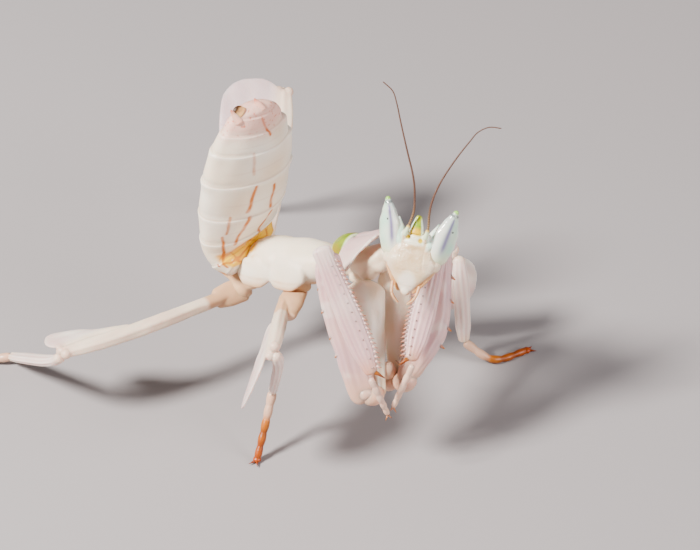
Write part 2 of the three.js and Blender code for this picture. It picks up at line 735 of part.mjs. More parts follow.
// The origin lies on the floor under the middle of the animal.
part.updateMatrixWorld(true);
const center = new THREE.Box3().setFromObject(part).getCenter(v3(0, 0, 0));
for (const mesh of part.children) mesh.geometry.translate(-center.x, -center.y, 0);

export default part;
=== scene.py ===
# Orchid mantis nymph, life size, standing on a plain floor. Lengths are in millimetres
# until a piece is finished, then it is scaled to metres and moved to the shared frame.
import math
import bpy
import bmesh
from mathutils import Matrix, Vector, noise


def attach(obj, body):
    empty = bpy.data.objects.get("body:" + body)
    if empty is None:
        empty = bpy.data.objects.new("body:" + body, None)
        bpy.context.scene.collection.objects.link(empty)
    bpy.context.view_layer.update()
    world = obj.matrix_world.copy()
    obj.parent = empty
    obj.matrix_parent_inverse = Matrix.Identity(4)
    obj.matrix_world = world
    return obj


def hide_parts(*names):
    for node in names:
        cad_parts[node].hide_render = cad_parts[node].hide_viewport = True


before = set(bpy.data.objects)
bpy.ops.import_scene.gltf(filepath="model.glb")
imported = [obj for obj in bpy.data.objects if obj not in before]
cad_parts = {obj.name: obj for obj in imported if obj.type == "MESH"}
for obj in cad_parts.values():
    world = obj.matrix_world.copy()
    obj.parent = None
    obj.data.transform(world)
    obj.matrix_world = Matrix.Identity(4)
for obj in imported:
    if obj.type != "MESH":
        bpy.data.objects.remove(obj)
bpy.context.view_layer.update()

unit = 0.001  # metres in a millimetre
middle = Vector((-0.133, -0.143, 0))  # where the origin lies in the lengths used below
upward = Vector((0, 0, 1))

# Small helpers.


def aim(side, heading, rise):  # heading 0 is straight ahead, outward positive
    flat = math.cos(math.radians(rise))
    turn = math.radians(heading)
    return Vector((side * math.sin(turn) * flat, -math.cos(turn) * flat, math.sin(math.radians(rise))))


def mixColor(a, b, k):
    k = min(1.0, max(0.0, k))
    return tuple(x + (y - x) * k for x, y in zip(a, b))


def layered(color, *coats):  # each coat is a colour and how far it covers
    for over, cover in coats:
        color = mixColor(color, over, cover)
    return color


def cloud(co, scale):  # soft patches between zero and one
    return 0.5 + 0.5 * noise.noise(co * scale)


def ripple(t, turn, along, around):  # gentle unevenness on the skin of a tube
    return noise.noise(Vector((t * along, math.cos(turn) * around, math.sin(turn) * around)))


def fromTop(turn):  # degrees from the top of a tube, negative on its second half
    return math.degrees(turn) if turn < math.pi else math.degrees(turn) - 360


def smooth(edge0, edge1, x):
    k = min(1.0, max(0.0, (x - edge0) / (edge1 - edge0)))
    return k * k * (3 - 2 * k)


def ring(value, center, width):  # one where the value meets the center, fading to none
    return math.exp(-(((value - center) / width) ** 2))


def keyed(keys, t):  # smooth value at t from pairs of (t, value)
    if t <= keys[0][0]:
        return keys[0][1]
    for (t0, v0), (t1, v1) in zip(keys, keys[1:]):
        if t <= t1:
            k = (t - t0) / (t1 - t0)
            return v0 + (v1 - v0) * (0.5 * k * k * (3 - 2 * k) + 0.5 * k)
    return keys[-1][1]


def scaled(keys, size):
    return [(t, v * size) for t, v in keys]


def spline(points, count=60):  # evenly spaced points on a smooth curve through the given ones
    ends = [points[0] * 2 - points[1]] + list(points) + [points[-1] * 2 - points[-2]]
    fine = []
    for p0, p1, p2, p3 in zip(ends, ends[1:], ends[2:], ends[3:]):
        d0 = max(1e-4, (p1 - p0).length ** 0.5)
        d1 = max(1e-4, (p2 - p1).length ** 0.5)
        d2 = max(1e-4, (p3 - p2).length ** 0.5)
        m1 = (p2 - p1) + ((p1 - p0) / d0 - (p2 - p0) / (d0 + d1)) * d1
        m2 = (p2 - p1) + ((p3 - p2) / d2 - (p3 - p1) / (d1 + d2)) * d1
        for i in range(24):
            k = i / 24
            k2, k3 = k * k, k * k * k
            fine.append(p1 * (2 * k3 - 3 * k2 + 1) + m1 * (k3 - 2 * k2 + k)
                        + p2 * (-2 * k3 + 3 * k2) + m2 * (k3 - k2))
    fine.append(points[-1].copy())
    reach = [0.0]
    for a, b in zip(fine, fine[1:]):
        reach.append(reach[-1] + (b - a).length)
    even = []
    j = 0
    for i in range(count + 1):
        goal = reach[-1] * i / count
        while j < len(fine) - 2 and reach[j + 1] < goal:
            j += 1
        k = (goal - reach[j]) / max(1e-9, reach[j + 1] - reach[j])
        even.append(fine[j].lerp(fine[j + 1], k))
    return even


def straight(a, b):
    return [a.copy(), b.copy()]


def onPath(path, t):
    place = min(1.0, max(0.0, t)) * (len(path) - 1)
    i = min(len(path) - 2, int(place))
    return path[i].lerp(path[i + 1], place - i)


def pathLength(path):
    return sum((b - a).length for a, b in zip(path, path[1:]))


def tube(bm, path, wide, high=None, low=None, up=upward, rings=40, sides=32,
         ends=(0.5, 0.5), square=1.0, relief=None, paint=None):
    # A flat grid is wrapped round the path: its x is the turn, its y the way along.
    high = high or wide
    low = low or high
    tint = bm.verts.layers.float_color.get("tint") or bm.verts.layers.float_color.new("tint")
    length = pathLength(path)
    made = bmesh.ops.create_grid(bm, x_segments=sides, y_segments=rings, size=0.5)["verts"]
    frames = {}
    near = 0.012  # the direction is read this far ahead and behind
    for vert in made:
        t = vert.co.y + 0.5
        turn = (vert.co.x + 0.5) * 2 * math.pi
        key = round(t, 5)
        if key not in frames:
            ahead = (onPath(path, t + near) - onPath(path, t - near)).normalized()
            side = ahead.cross(up(t) if callable(up) else up).normalized()
            top = side.cross(ahead)
            shut = 1.0
            if ends[0] and t * length < ends[0]:
                shut = math.sqrt(max(0.0, 1 - (1 - t * length / ends[0]) ** 2))
            if ends[1] and (1 - t) * length < ends[1]:
                shut = min(shut, math.sqrt(max(0.0, 1 - (1 - (1 - t) * length / ends[1]) ** 2)))
            frames[key] = (onPath(path, t), side, top, keyed(wide, t), keyed(high, t), keyed(low, t), shut)
        center, side, top, w, h, l, shut = frames[key]
        c, s = math.cos(turn), math.sin(turn)
        reach = h if c >= 0 else l
        if square != 1.0:
            c = math.copysign(abs(c) ** square, c)
            s = math.copysign(abs(s) ** square, s)
        swell = relief(t, turn, center) if relief else 0.0
        scale = 1 + swell / max(0.2, math.hypot(s * w, c * reach))
        vert.co = center + side * (s * w * shut * scale) + top * (c * reach * shut * scale)
        if paint:
            vert[tint] = (*paint(t, turn, vert.co), 1.0)


def spine(bm, root, tip, radius, sides=6, color=None):  # a thorn with a slight bend
    way = tip - root
    made = bmesh.ops.create_cone(bm, segments=sides, radius1=radius, radius2=radius * 0.12,
                                 depth=way.length, cap_ends=True)["verts"]
    turn = upward.rotation_difference(way.normalized()).to_matrix().to_4x4()
    place = Matrix.Translation(root.lerp(tip, 0.5)) @ turn
    bmesh.ops.transform(bm, matrix=place, verts=made)
    tint = bm.verts.layers.float_color.get("tint")
    for vert in made:
        if color:
            k = (vert.co - root).dot(way) / way.length_squared
            vert[tint] = (*mixColor(color[0], color[1], k), 1.0)


def lump(bm, center, size, turn=None, color=None):
    made = bmesh.ops.create_icosphere(bm, subdivisions=3, radius=1.0)["verts"]
    place = Matrix.Translation(center) @ (turn or Matrix()) @ Matrix.Diagonal((*size, 1.0))
    bmesh.ops.transform(bm, matrix=place, verts=made)
    tint = bm.verts.layers.float_color.get("tint")
    if color and tint:
        for vert in made:
            vert[tint] = (*color, 1.0)


def placed(name, data):  # a new object in the scene
    item = bpy.data.objects.new(name, data)
    bpy.context.scene.collection.objects.link(item)
    return item


def basis(x, y, z):  # columns are the piece's own axes
    return Matrix((x, y, z)).transposed().to_4x4()


def fused(bm, voxel, rounds=2):  # overlapping forms grown together into one closed skin
    bmesh.ops.remove_doubles(bm, verts=bm.verts, dist=1e-4)
    bmesh.ops.recalc_face_normals(bm, faces=bm.faces)
    mesh = bpy.data.meshes.new("rough")
    bm.to_mesh(mesh)
    bm.free()
    rough = placed("rough", mesh)
    grow = rough.modifiers.new("grow", "REMESH")
    grow.mode = "VOXEL"
    grow.voxel_size = voxel
    grown = rough.evaluated_get(bpy.context.evaluated_depsgraph_get())
    skin = bmesh.new()
    skin.from_mesh(grown.to_mesh())
    grown.to_mesh_clear()
    bpy.data.objects.remove(rough)
    bpy.data.meshes.remove(mesh)
    for _ in range(rounds):
        bmesh.ops.smooth_vert(skin, verts=skin.verts, factor=0.5,
                              use_axis_x=True, use_axis_y=True, use_axis_z=True)
    return skin


def colored(bm, paint):  # colour by place and by the way the surface faces
    tint = bm.verts.layers.float_color.get("tint") or bm.verts.layers.float_color.new("tint")
    bm.normal_update()
    for vert in bm.verts:
        vert[tint] = (*paint(vert.co, vert.normal), 1.0)


def finished(bm, name, material, nodes, floor=False):  # a piece in metres that replaces CAD nodes
    bmesh.ops.remove_doubles(bm, verts=bm.verts, dist=2e-4)
    bmesh.ops.dissolve_degenerate(bm, edges=bm.edges, dist=1e-5)
    bmesh.ops.recalc_face_normals(bm, faces=bm.faces)
    if floor:
        for vert in bm.verts:
            vert.co.z = max(0.0, vert.co.z)
    for face in bm.faces:
        face.smooth = True
    bmesh.ops.translate(bm, vec=-middle, verts=bm.verts)
    bmesh.ops.scale(bm, vec=(unit, unit, unit), verts=bm.verts)
    mesh = bpy.data.meshes.new(name)
    bm.to_mesh(mesh)
    bm.free()
    piece = placed(name, mesh)
    mesh.materials.append(material)
    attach(piece, "root")
    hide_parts(*nodes)
    print("made", name, len(mesh.polygons), "faces")


# Materials.


def fill(tree, node, sockets):  # sets each socket, or links it where an output is given
    for socket, value in sockets.items():
        if isinstance(value, bpy.types.NodeSocket):
            tree.links.new(value, node.inputs[socket])
        else:
            node.inputs[socket].default_value = value
    return node


patternScale = {"cloud": 420, "fine": 5200, "cells": 3300}


def cuticle(name, roughness=0.42, glow=0.35, depth=0.7, grain=0.25, coat=0.0, mottle=0.06):
    # Thin insect shell: light sinks in a little, and the surface has fine granules.
    material = bpy.data.materials.new(name)
    material.use_nodes = True
    tree = material.node_tree

    def add(kind, sockets, operation=None):
        node = tree.nodes.new("ShaderNode" + kind)
        if operation:
            node.operation = operation
        return fill(tree, node, sockets)

    place = add("TexCoord", {}).outputs["Object"]
    tint = add("Attribute", {})
    tint.attribute_name = "tint"
    clouds = add("TexNoise", {"Vector": place, "Scale": patternScale["cloud"], "Detail": 6})
    fine = add("TexNoise", {"Vector": place, "Scale": patternScale["fine"], "Detail": 3})
    cells = add("TexVoronoi", {"Vector": place, "Scale": patternScale["cells"]})
    shade = add("MapRange", {"Value": clouds.outputs["Fac"], "From Min": 0.3, "From Max": 0.7,
                             "To Min": 1 - mottle, "To Max": 1 + mottle * 0.6})
    tone = add("VectorMath", {0: tint.outputs["Color"], "Scale": shade.outputs["Result"]}, "SCALE")
    rich = add("HueSaturation", {"Color": tone.outputs["Vector"], "Saturation": 1.5})
    rough = add("MapRange", {"Value": fine.outputs["Fac"],
                             "To Min": roughness - 0.1, "To Max": roughness + 0.12})
    height = add("Math", {0: cells.outputs["Distance"], 1: 0.6, 2: fine.outputs["Fac"]}, "MULTIPLY_ADD")
    bump = add("Bump", {"Height": height.outputs["Value"], "Strength": grain, "Distance": 0.00006})
    fill(tree, tree.nodes["Principled BSDF"], {
        "Base Color": rich.outputs["Color"], "Roughness": rough.outputs["Result"],
        "Normal": bump.outputs["Normal"], "Specular IOR Level": 0.45,
        "Subsurface Weight": glow, "Subsurface Scale": depth * unit,
        "Subsurface Radius": (1.0, 0.55, 0.45), "Coat Weight": coat, "Coat Roughness": 0.08})
    return material


ivoryShell = cuticle("ivoryShell", roughness=0.45, glow=0.3, depth=0.6, grain=0.22)
petalShell = cuticle("petalShell", roughness=0.4, glow=0.45, depth=0.9, grain=0.2)
faceShell = cuticle("faceShell", roughness=0.36, glow=0.4, depth=0.5, grain=0.35, coat=0.15)
eyeGlaze = cuticle("eyeGlaze", roughness=0.22, glow=0.2, depth=0.3, grain=0.05, coat=0.8, mottle=0.03)
collarShell = cuticle("collarShell", roughness=0.35, glow=0.15, depth=0.3, grain=0.3, coat=0.2, mottle=0.15)
hornShell = cuticle("hornShell", roughness=0.35, glow=0.3, depth=0.3, grain=0.2, coat=0.2)
clawShell = cuticle("clawShell", roughness=0.35, glow=0.25, depth=0.4, grain=0.3, mottle=0.15)
feelerShell = cuticle("feelerShell", roughness=0.5, glow=0.05, depth=0.1, grain=0.3, mottle=0.2)

# Colours are linear.
ivory = (0.80, 0.70, 0.58)
pearlWhite = (0.88, 0.84, 0.78)
cream = (0.72, 0.54, 0.37)
blush = (0.66, 0.51, 0.49)
lilac = (0.52, 0.37, 0.40)
amber = (0.40, 0.16, 0.07)
gold = (0.72, 0.38, 0.05)
rust = (0.36, 0.07, 0.02)
umber = (0.07, 0.035, 0.028)
mint = (0.50, 0.74, 0.62)
violet = (0.16, 0.13, 0.24)
leaf = (0.12, 0.20, 0.012)

# Thorax and the flesh round it.

trunk = {"pivotY": -1.6, "pivotZ": 13.8, "halfDepth": 2.05, "length": 8.7, "rise": 16, "halfWidth": 2.45}
neck = {"pitch": 36, "yaw": 12, "length": 7.4}


def roundCrease(angle, radius=trunk["halfDepth"]):
    turn = math.radians(angle - trunk["rise"])
    return Vector((0, trunk["pivotY"] + radius * math.sin(turn), trunk["pivotZ"] - radius * math.cos(turn)))


trunkRise = aim(1, 0, trunk["rise"])
thoraxRear = roundCrease(0)
thoraxFront = thoraxRear + trunkRise * trunk["length"]
thoraxLine = spline([roundCrease(40, 2.2), roundCrease(28), roundCrease(14), thoraxRear, thoraxFront], 80)
neckDir = aim(-1, neck["yaw"], neck["pitch"])
neckRoot = thoraxFront + neckDir * 0.75 + Vector((0, 0, 0.1))
neckTip = neckRoot + neckDir * neck["length"]
neckSide = upward.cross(neckDir).normalized()
neckUp = neckDir.cross(neckSide)
neckTurn = basis(neckSide, neckUp, neckDir)


def onNeck(left, up, ahead):
    return neckRoot + neckSide * left + neckUp * up + neckDir * ahead


head = {"heading": 71, "nod": 24, "roll": 4.5, "faceHeight": 6.1, "hornHeight": 7.4,
        "eyeTipHeight": 8.5, "eyeTipHalf": 3.2, "ahead": 2.6, "below": 3.1, "aside": 0.54}
faceDir = aim(-1, head["heading"], head["nod"])
plumb = (upward - faceDir * faceDir.z).normalized()
level = plumb.cross(faceDir)
roll = math.radians(head["roll"])
leftward = level * math.cos(roll) - plumb * math.sin(roll)
crownward = plumb * math.cos(roll) + level * math.sin(roll)
mouth = (neckTip + faceDir * head["ahead"] - crownward * head["below"] + leftward * head["aside"]
         + Vector((0, -2.0, 0.4)))


def onHead(left, up, front):
    return mouth + leftward * left + crownward * up + faceDir * front


# The left hips; the right ones are mirrored.
hips = {"mid": Vector((2.35, -6.0, 10.1)), "hind": Vector((2.2, -0.1, 8.0))}


def makeThorax():
    bm = bmesh.new()
    w = trunk["halfWidth"]
    tube(bm, thoraxLine, [(0, 1.9), (0.2, w - 0.1), (0.36, w + 0.05), (0.42, w - 0.2), (0.6, w),
                          (0.8, 2.1), (1, 1.45)],
         high=[(0, 1.5), (0.3, 1.95), (0.4, 1.88), (0.6, 1.95), (0.8, 1.8), (1, 1.3)],
         low=[(0, 1.8), (0.3, 2.15), (0.7, 1.9), (1, 1.3)], rings=80, sides=48, ends=(0.9, 0.9))
    tube(bm, straight(neckRoot - neckDir * 1.2, neckTip),
         [(0, 1.2), (0.3, 1.5), (0.6, 1.9), (0.9, 1.6), (1, 0.9)],
         high=[(0, 0.9), (1, 0.8)], low=[(0, 1.2), (0.55, 1.75), (0.9, 1.55), (1, 0.9)],
         up=neckUp, rings=40, sides=32, ends=(0.6, 0.6))
    tube(bm, straight(neckTip - neckDir * 0.9, onHead(0, 3.4, -1.4)), [(0, 0.9), (1, 0.8)],
         rings=20, sides=24, ends=(0.3, 0.3))
    for side in (-1, 1):
        # wing pads lie on the flank and point back and down
        for place, length, width in ((0.77, 4.4, 1.6), (0.4, 4.2, 1.6)):
            root = onPath(thoraxLine, place) + Vector((side * (w - 0.35), 0.1, -0.1))
            tip = root + Vector((side * 0.35, length * 0.95, -length * 0.36))
            tube(bm, spline([root, root.lerp(tip, 0.5) + Vector((side * 0.2, 0, 0)), tip], 20),
                 [(0, width * 0.5), (0.4, width), (0.8, width * 0.85), (1, width * 0.5)],
                 high=[(0, 0.5), (0.6, 0.4), (1, 0.26)], up=Vector((side, 0, 0.5)),
                 rings=30, sides=32, ends=(0.5, 1.3))
        # hips and the soft plates above them
        for key, swell in (("mid", 1.3), ("hind", 1.2)):
            hip = Vector((hips[key].x * side, hips[key].y, hips[key].z))
            socket = Vector((side * 1.2, hip.y - 0.8, hip.z + 0.9))
            tube(bm, straight(socket, hip - (hip - socket).normalized() * 0.05),
                 [(0, 1.2), (0.5, swell), (1, 0.85)], rings=20, sides=26, ends=(0.4, 0.45))
            lump(bm, socket + Vector((side * 0.45, 0.1, 0.5)), (0.85, 1.7, 0.75))
            lump(bm, socket + Vector((side * 0.2, 1.5, 0.7)), (0.8, 1.2, 0.6))
        for left, up, ahead, size in (
                (1.1, -0.95, 4.3, (0.85, 1.0, 1.3)), (0.9, -0.75, 6.1, (0.75, 0.8, 1.0)),
                (1.0, -1.35, 2.2, (0.7, 0.6, 0.9))):
            lump(bm, onNeck(side * left, up, ahead), size, neckTurn)
    lump(bm, onNeck(0, -1.3, 3.0), (1.2, 0.8, 1.8), neckTurn)
    bm = fused(bm, 0.11, 6)

    def paint(co, normal):
        ahead = (co - thoraxRear).dot(trunkRise)
        high = (co - onPath(thoraxLine, 0.3 + ahead / 12)).z
        # Painted light and shade: the masks below make the top of the thorax paler and its underside darker.
        back = smooth(0.6, 1.8, high)
        belly = smooth(-0.9, -2.0, high)
        onward = (co - neckRoot).dot(neckDir)
        rear = smooth(0.7, -0.5, ahead) * smooth(-0.2, 0.9, high)
        speck = cloud(co, 1.6)
        grain = 0.5 + 0.5 * noise.noise(co * 2.3 + Vector((7, 3, 1)))
        brow = ring(high, -1.0, 0.12) * smooth(0.3, 0.6, cloud(co, 0.9))
        return layered(
            pearlWhite, (ivory, 0.55 + 0.5 * noise.noise(co * 0.5)),
            # painted light on the top, painted shade on the underside
            ((0.94, 0.86, 0.74), 0.7 * back),
            ((0.66, 0.46, 0.32), 0.8 * belly),
            ((0.76, 0.63, 0.50), 0.5 * smooth(0.2, 1.8, onward)),
            (ivory, 0.5 * smooth(4.2, 6.5, onward)),
            (gold, 0.75 * rear * smooth(0.3, 0.7, speck)),
            (rust, 0.5 * rear * smooth(0.62, 0.85, grain)),
            ((0.55, 0.32, 0.17), 0.35 * brow * smooth(7.5, 5.5, ahead)))

    colored(bm, paint)
    finished(bm, "thoraxSkin", ivoryShell,
             ["metathorax", "mesothorax", "prothorax", "cervix", "forewing_pad_right", "hindwing_pad_right",
              "forewing_pad_left", "hindwing_pad_left", "coxa_mid_right", "coxa_mid_left",
              "coxa_hind_right", "coxa_hind_left"])


makeThorax()

# Shield and collar behind the head.


def makeShield():
    shield = {"half": 4.1, "arch": 2.4, "length": 4.8, "thick": 0.2, "lift": 2.1, "from": 2.85,
              "outline": [(0, 0.82), (0.2, 0.98), (0.4, 0.93), (0.75, 0.6), (0.92, 0.38), (1, 0.25)]}
    bm = bmesh.new()
    tint = bm.verts.layers.float_color.new("tint")
    made = bmesh.ops.create_grid(bm, x_segments=56, y_segments=44, size=0.5)["verts"]
    for vert in made:
        across, t = vert.co.x * 2, vert.co.y + 0.5
        half = keyed(shield["outline"], t) * shield["half"]
        hollow = 0.35 * (1 - abs(across) ** 2) * (1 - t) ** 3
        arch = shield["lift"] - shield["arch"] * abs(across * half / shield["half"]) ** 2.2
        crest = 0.18 * ring(across, 0, 0.08) * smooth(0.9, 0.5, t)
        rim = 0.16 * smooth(0.86, 1.0, abs(across)) + 0.1 * smooth(0.1, 0.0, t)
        vert.co = onNeck(across * half, arch - crest * 0.6 + rim,
                         shield["from"] + hollow + t * shield["length"])
        vein = ring(abs(across) - 0.2 * t, 0.45, 0.02)
        shadeK = cloud(vert.co, 0.6)
        color = mixColor(blush, pearlWhite, 0.35 * shadeK + 0.4 * smooth(0.8, 1.0, abs(across)))
        color = mixColor(color, lilac, 0.5 * (1 - abs(across)) + 0.4 * vein)
        vert[tint] = (*color, 1.0)
    bmesh.ops.recalc_face_normals(bm, faces=bm.faces)
    bmesh.ops.solidify(bm, geom=bm.faces[:] + bm.edges[:] + bm.verts[:], thickness=shield["thick"])
    finished(bm, "pronotumShield", petalShell, ["pronotum_shield"])

    collar = {"half": 1.85, "lift": 2.4, "drop": 1.55}
    bm = bmesh.new()
    path = []
    for i in range(41):
        k = i / 20 - 1
        path.append(onNeck(k * collar["half"], collar["lift"] - collar["drop"] * abs(k) ** 2.2 - 0.3, 1.75))

    def paint(t, turn, co):
        k = cloud(co, 1.3)
        ahead = math.cos(turn)
        ochre = 0.5 + 0.5 * noise.noise(co * 0.9 + Vector((3, 1, 4)))
        return layered(
            leaf, ((0.22, 0.30, 0.02), smooth(0.3, 0.8, k)),
            ((0.28, 0.13, 0.01), 0.7 * smooth(0.45, 0.8, ochre)),
            ((0.55, 0.60, 0.10), smooth(-0.3, -0.9, ahead)),
            ((0.75, 0.78, 0.62), smooth(0.7, 0.95, ahead)))

    tube(bm, path, [(0, 0.5), (0.5, 0.42), (1, 0.5)], high=[(0, 1.0), (0.5, 1.1), (1, 1.0)],
         low=[(0, 1.1), (0.5, 1.25), (1, 1.1)], up=neckDir, rings=60, sides=32, ends=(0.7, 0.7), paint=paint,
         relief=lambda t, turn, c: 0.05 * ripple(t, turn, 9, 1.5))
    finished(bm, "pronotumCollar", collarShell, ["pronotum_collar"])


makeShield()

# Abdomen.

abdomen = {"length": 18.6, "halfWidth": 4.7, "halfDepth": 2.4, "lean": 8, "twist": 22,
           "twistRate": 2.5, "creaseShare": 0.16, "creaseRadius": 2.35, "bent": 3.4}
# The places along the abdomen where its rings meet.
plates = [0, 0.09, 0.21, 0.365, 0.575, 0.76, 0.865, 0.957, 1]
girth = [(0, 0.8), (0.1, 0.95), (0.22, 1), (0.4, 1), (0.62, 0.98), (0.78, 0.83), (0.9, 0.6),
         (0.96, 0.47), (1, 0.3)]
bulk = [(0, 0.82), (0.2, 0.95), (0.5, 1), (0.75, 0.85), (0.9, 0.6), (1, 0.36)]
dorsalBulk = [(0, 0.5), (0.1, 0.6), (0.2, 0.86), (0.35, 1), (0.5, 1), (0.75, 0.85), (0.9, 0.6), (1, 0.36)]
mmAlong, mmAround = 21, 0.08  # the whole length, and one degree of turn
# Orange streaks: points of (way along, degrees from the middle of the back), half width, strength.
streaks = [
    ([(0.56, -6), (0.405, -12)], 0.16, 0.75),
    ([(0.365, -9), (0.195, -30)], 0.15, 0.75),
    ([(0.385, -36), (0.285, -42)], 0.13, 0.6),
    ([(0.26, -48), (0.155, -48), (0.05, -69)], 0.16, 0.75),
    ([(0.525, 21), (0.38, 21)], 0.15, 0.7),
    ([(0.35, 21), (0.245, 9), (0.195, 9)], 0.15, 0.7),
    ([(0.765, -12), (0.64, -9)], 0.14, 0.35),
    ([(0.95, 3), (0.845, 18)], 0.16, 0.95),
]
turned = roundCrease(90 + trunk["rise"], abdomen["creaseRadius"])
spineDir = aim(1, 0, 90 - abdomen["lean"])
crown = turned + spineDir * (abdomen["length"] - abdomen["bent"])
abdomenLine = spline([roundCrease(a, abdomen["creaseRadius"]) for a in (30, 38, 45, 51, 62, 76, 90)]
                     + [turned, turned + spineDir * 5, turned + spineDir * 10, crown], 160)
crease = Vector((0, trunk["pivotY"], trunk["pivotZ"]))


def dorsalUp(place):
    twist = math.radians(abdomen["twist"] * min(1.0, place * abdomen["twistRate"]))
    inward = crease - onPath(abdomenLine, place)
    inward.x = 0
    back = Vector((-math.sin(twist), -math.cos(twist), 0))
    return back.lerp(inward.normalized(), max(0.0, 1 - place / abdomen["creaseShare"])).normalized()


def alongPlate(t):  # how far along its own plate a place is
    for a, b in zip(plates, plates[1:]):
        if t <= b:
            return (t - a) / (b - a)
    return 1.0


def streakAt(t, degrees):
    most = 0.0
    for points, width, strength in streaks:
        for (t0, a0), (t1, a1) in zip(points, points[1:]):
            x, y = (t - t0) * mmAlong, (degrees - a0) * mmAround
            dx, dy = (t1 - t0) * mmAlong, (a1 - a0) * mmAround
            k = min(1.0, max(0.0, (x * dx + y * dy) / (dx * dx + dy * dy)))
            away = math.hypot(x - k * dx, y - k * dy)
            most = max(most, 1.2 * strength * smooth(1.9 * width, 0.6 * width, away))
    return most


def makeAbdomen():
    bm = bmesh.new()

    def relief(t, turn, center):
        k = alongPlate(t)
        step = 0.11 * k ** 2 - 0.05
        flank = ring(abs(math.sin(turn)), 1, 0.1)
        wing = 0.10 + 0.45 * smooth(0.5, 0.62, t) * (0.35 + 0.65 * smooth(0.3, 1.0, k)) * smooth(0.98, 0.9, t)
        lobe = flank * (wing if math.sin(turn) > 0 else 0.5 * wing) * smooth(0.15, 0.4, t)
        furrow = -0.04 * ring(k, 0.1, 0.08)
        fold = 0.07 * noise.noise(Vector((math.cos(turn) * 2.0, math.sin(turn) * 2.0, t * 7)))
        return step + lobe + furrow + fold

    def paint(t, turn, co):
        k = alongPlate(t)
        degrees = fromTop(turn)
        patch = smooth(0.15, 0.09, t + 0.03 * noise.noise(co * 1.2)) * smooth(85, 60, abs(degrees - 8))
        veined = smooth(0.09, 0.03, abs(noise.noise(co * 0.9)))
        border = ring(t + 0.02 * noise.noise(co * 1.2), 0.125, 0.012) * smooth(85, 60, abs(degrees - 8))
        spot = math.hypot((t - 0.085) * mmAlong, (degrees + 78) * mmAround)
        band = ring(t, 0.04, 0.018) * smooth(22, 12, abs(degrees + 115))
        ragged = 0.85 + 0.6 * noise.noise(co * 1.6)
        wander = 2.5 * noise.noise(co * 0.8)
        end = smooth(0.80, 0.93, t)
        dots = smooth(0.68, 0.8, cloud(co, 4.5))
        return layered(
            ivory, (pearlWhite, 0.5 + 0.6 * noise.noise(co * 0.35)),
            # a thin painted shadow line where each plate starts, under the raised rear edge of the plate
            # before it
            ((0.58, 0.46, 0.38), 0.45 * ring(k, 0, 0.05) * smooth(0.02, 0.12, t)),
            ((0.92, 0.87, 0.80), 0.6 * smooth(0.86, 0.97, k)),
            ((0.66, 0.55, 0.48), 0.3 * ring(k, 0.45, 0.03) * smooth(60, 30, abs(degrees))),
            # painted shade: darker towards the underside, away from the middle of the back
            ((0.66, 0.56, 0.50), 0.35 * smooth(95, 150, abs(degrees))),
            ((0.95, 0.60, 0.16), 0.9 * patch * smooth(0.0, 0.35, 0.5 + 0.6 * noise.noise(co * 1.4))),
            ((0.55, 0.16, 0.02), 0.75 * patch * veined),
            ((0.50, 0.14, 0.02), 0.5 * border),
            (rust, 0.8 * smooth(0.35, 0.12, spot)),
            ((0.60, 0.20, 0.05), 0.75 * band),
            ((0.46, 0.13, 0.03), min(1.0, ragged) * streakAt(t, degrees + wander)),
            ((0.76, 0.50, 0.45), 0.7 * end),
            ((0.50, 0.10, 0.06), 0.5 * end * dots))

    tube(bm, abdomenLine, scaled(girth, abdomen["halfWidth"]), high=scaled(dorsalBulk, abdomen["halfDepth"]),
         low=scaled(bulk, abdomen["halfDepth"]), up=dorsalUp, rings=320, sides=230,
         relief=relief, paint=paint)
    finished(bm, "abdomenSkin", ivoryShell,
             [f"abdomen_{i}" for i in range(1, 8)] + ["abdomen_tip"])


makeAbdomen()


def makeCerci():
    roots = {"right": (Vector((-2.0, 0.35, -1.0)), Vector((-0.06, 0.91, 1.06))),
             "left": (Vector((0.2, -0.7, -0.5)), Vector((-0.08, 0.83, 0.98)))}
    outward = Vector((-0.67, -0.42, 0.61))
    for label, (place, reach) in roots.items():
        bm = bmesh.new()
        root = crown + place - reach * 0.15
        tube(bm, straight(root, root + reach * 1.15), [(0, 0.46), (0.45, 0.36), (1, 0.08)],
             high=[(0, 0.36), (1, 0.08)], up=outward, rings=24, sides=18, ends=(0.2, 0.1),
             paint=lambda t, turn, co: mixColor((0.76, 0.52, 0.46), (0.55, 0.28, 0.24), smooth(0.6, 1.0, t)))
        if label == "right":  # the last plate of the body sits between them
            plate = crown + Vector((-1.35, 0.3, -0.5))
            tube(bm, straight(plate, plate + Vector((-0.42, 0.8, 0.58))), [(0, 0.62), (0.6, 0.55), (1, 0.3)],
                 high=[(0, 0.4), (1, 0.2)], up=outward, rings=24, sides=22, ends=(0.2, 0.25),
                 paint=lambda t, turn, co: mixColor((0.66, 0.46, 0.32), (0.05, 0.03, 0.02),
                                                    smooth(0.3, 0.75, t + 0.25 * noise.noise(co * 3))))
        finished(bm, f"cercus{label.capitalize()}", petalShell, [f"cercus_{label}"])


makeCerci()

# Head.


def carved(bm, depthAt):  # moves the skin along its normals
    bmesh.ops.remove_doubles(bm, verts=bm.verts, dist=2e-4)
    bmesh.ops.recalc_face_normals(bm, faces=bm.faces)
    bm.normal_update()
    moves = [vert.normal * depthAt(vert.co, vert.normal) for vert in bm.verts]
    for vert, move in zip(bm.verts, moves):
        vert.co += move


def headPlace(co):
    offset = co - mouth
    return offset.dot(leftward), offset.dot(crownward), offset.dot(faceDir)


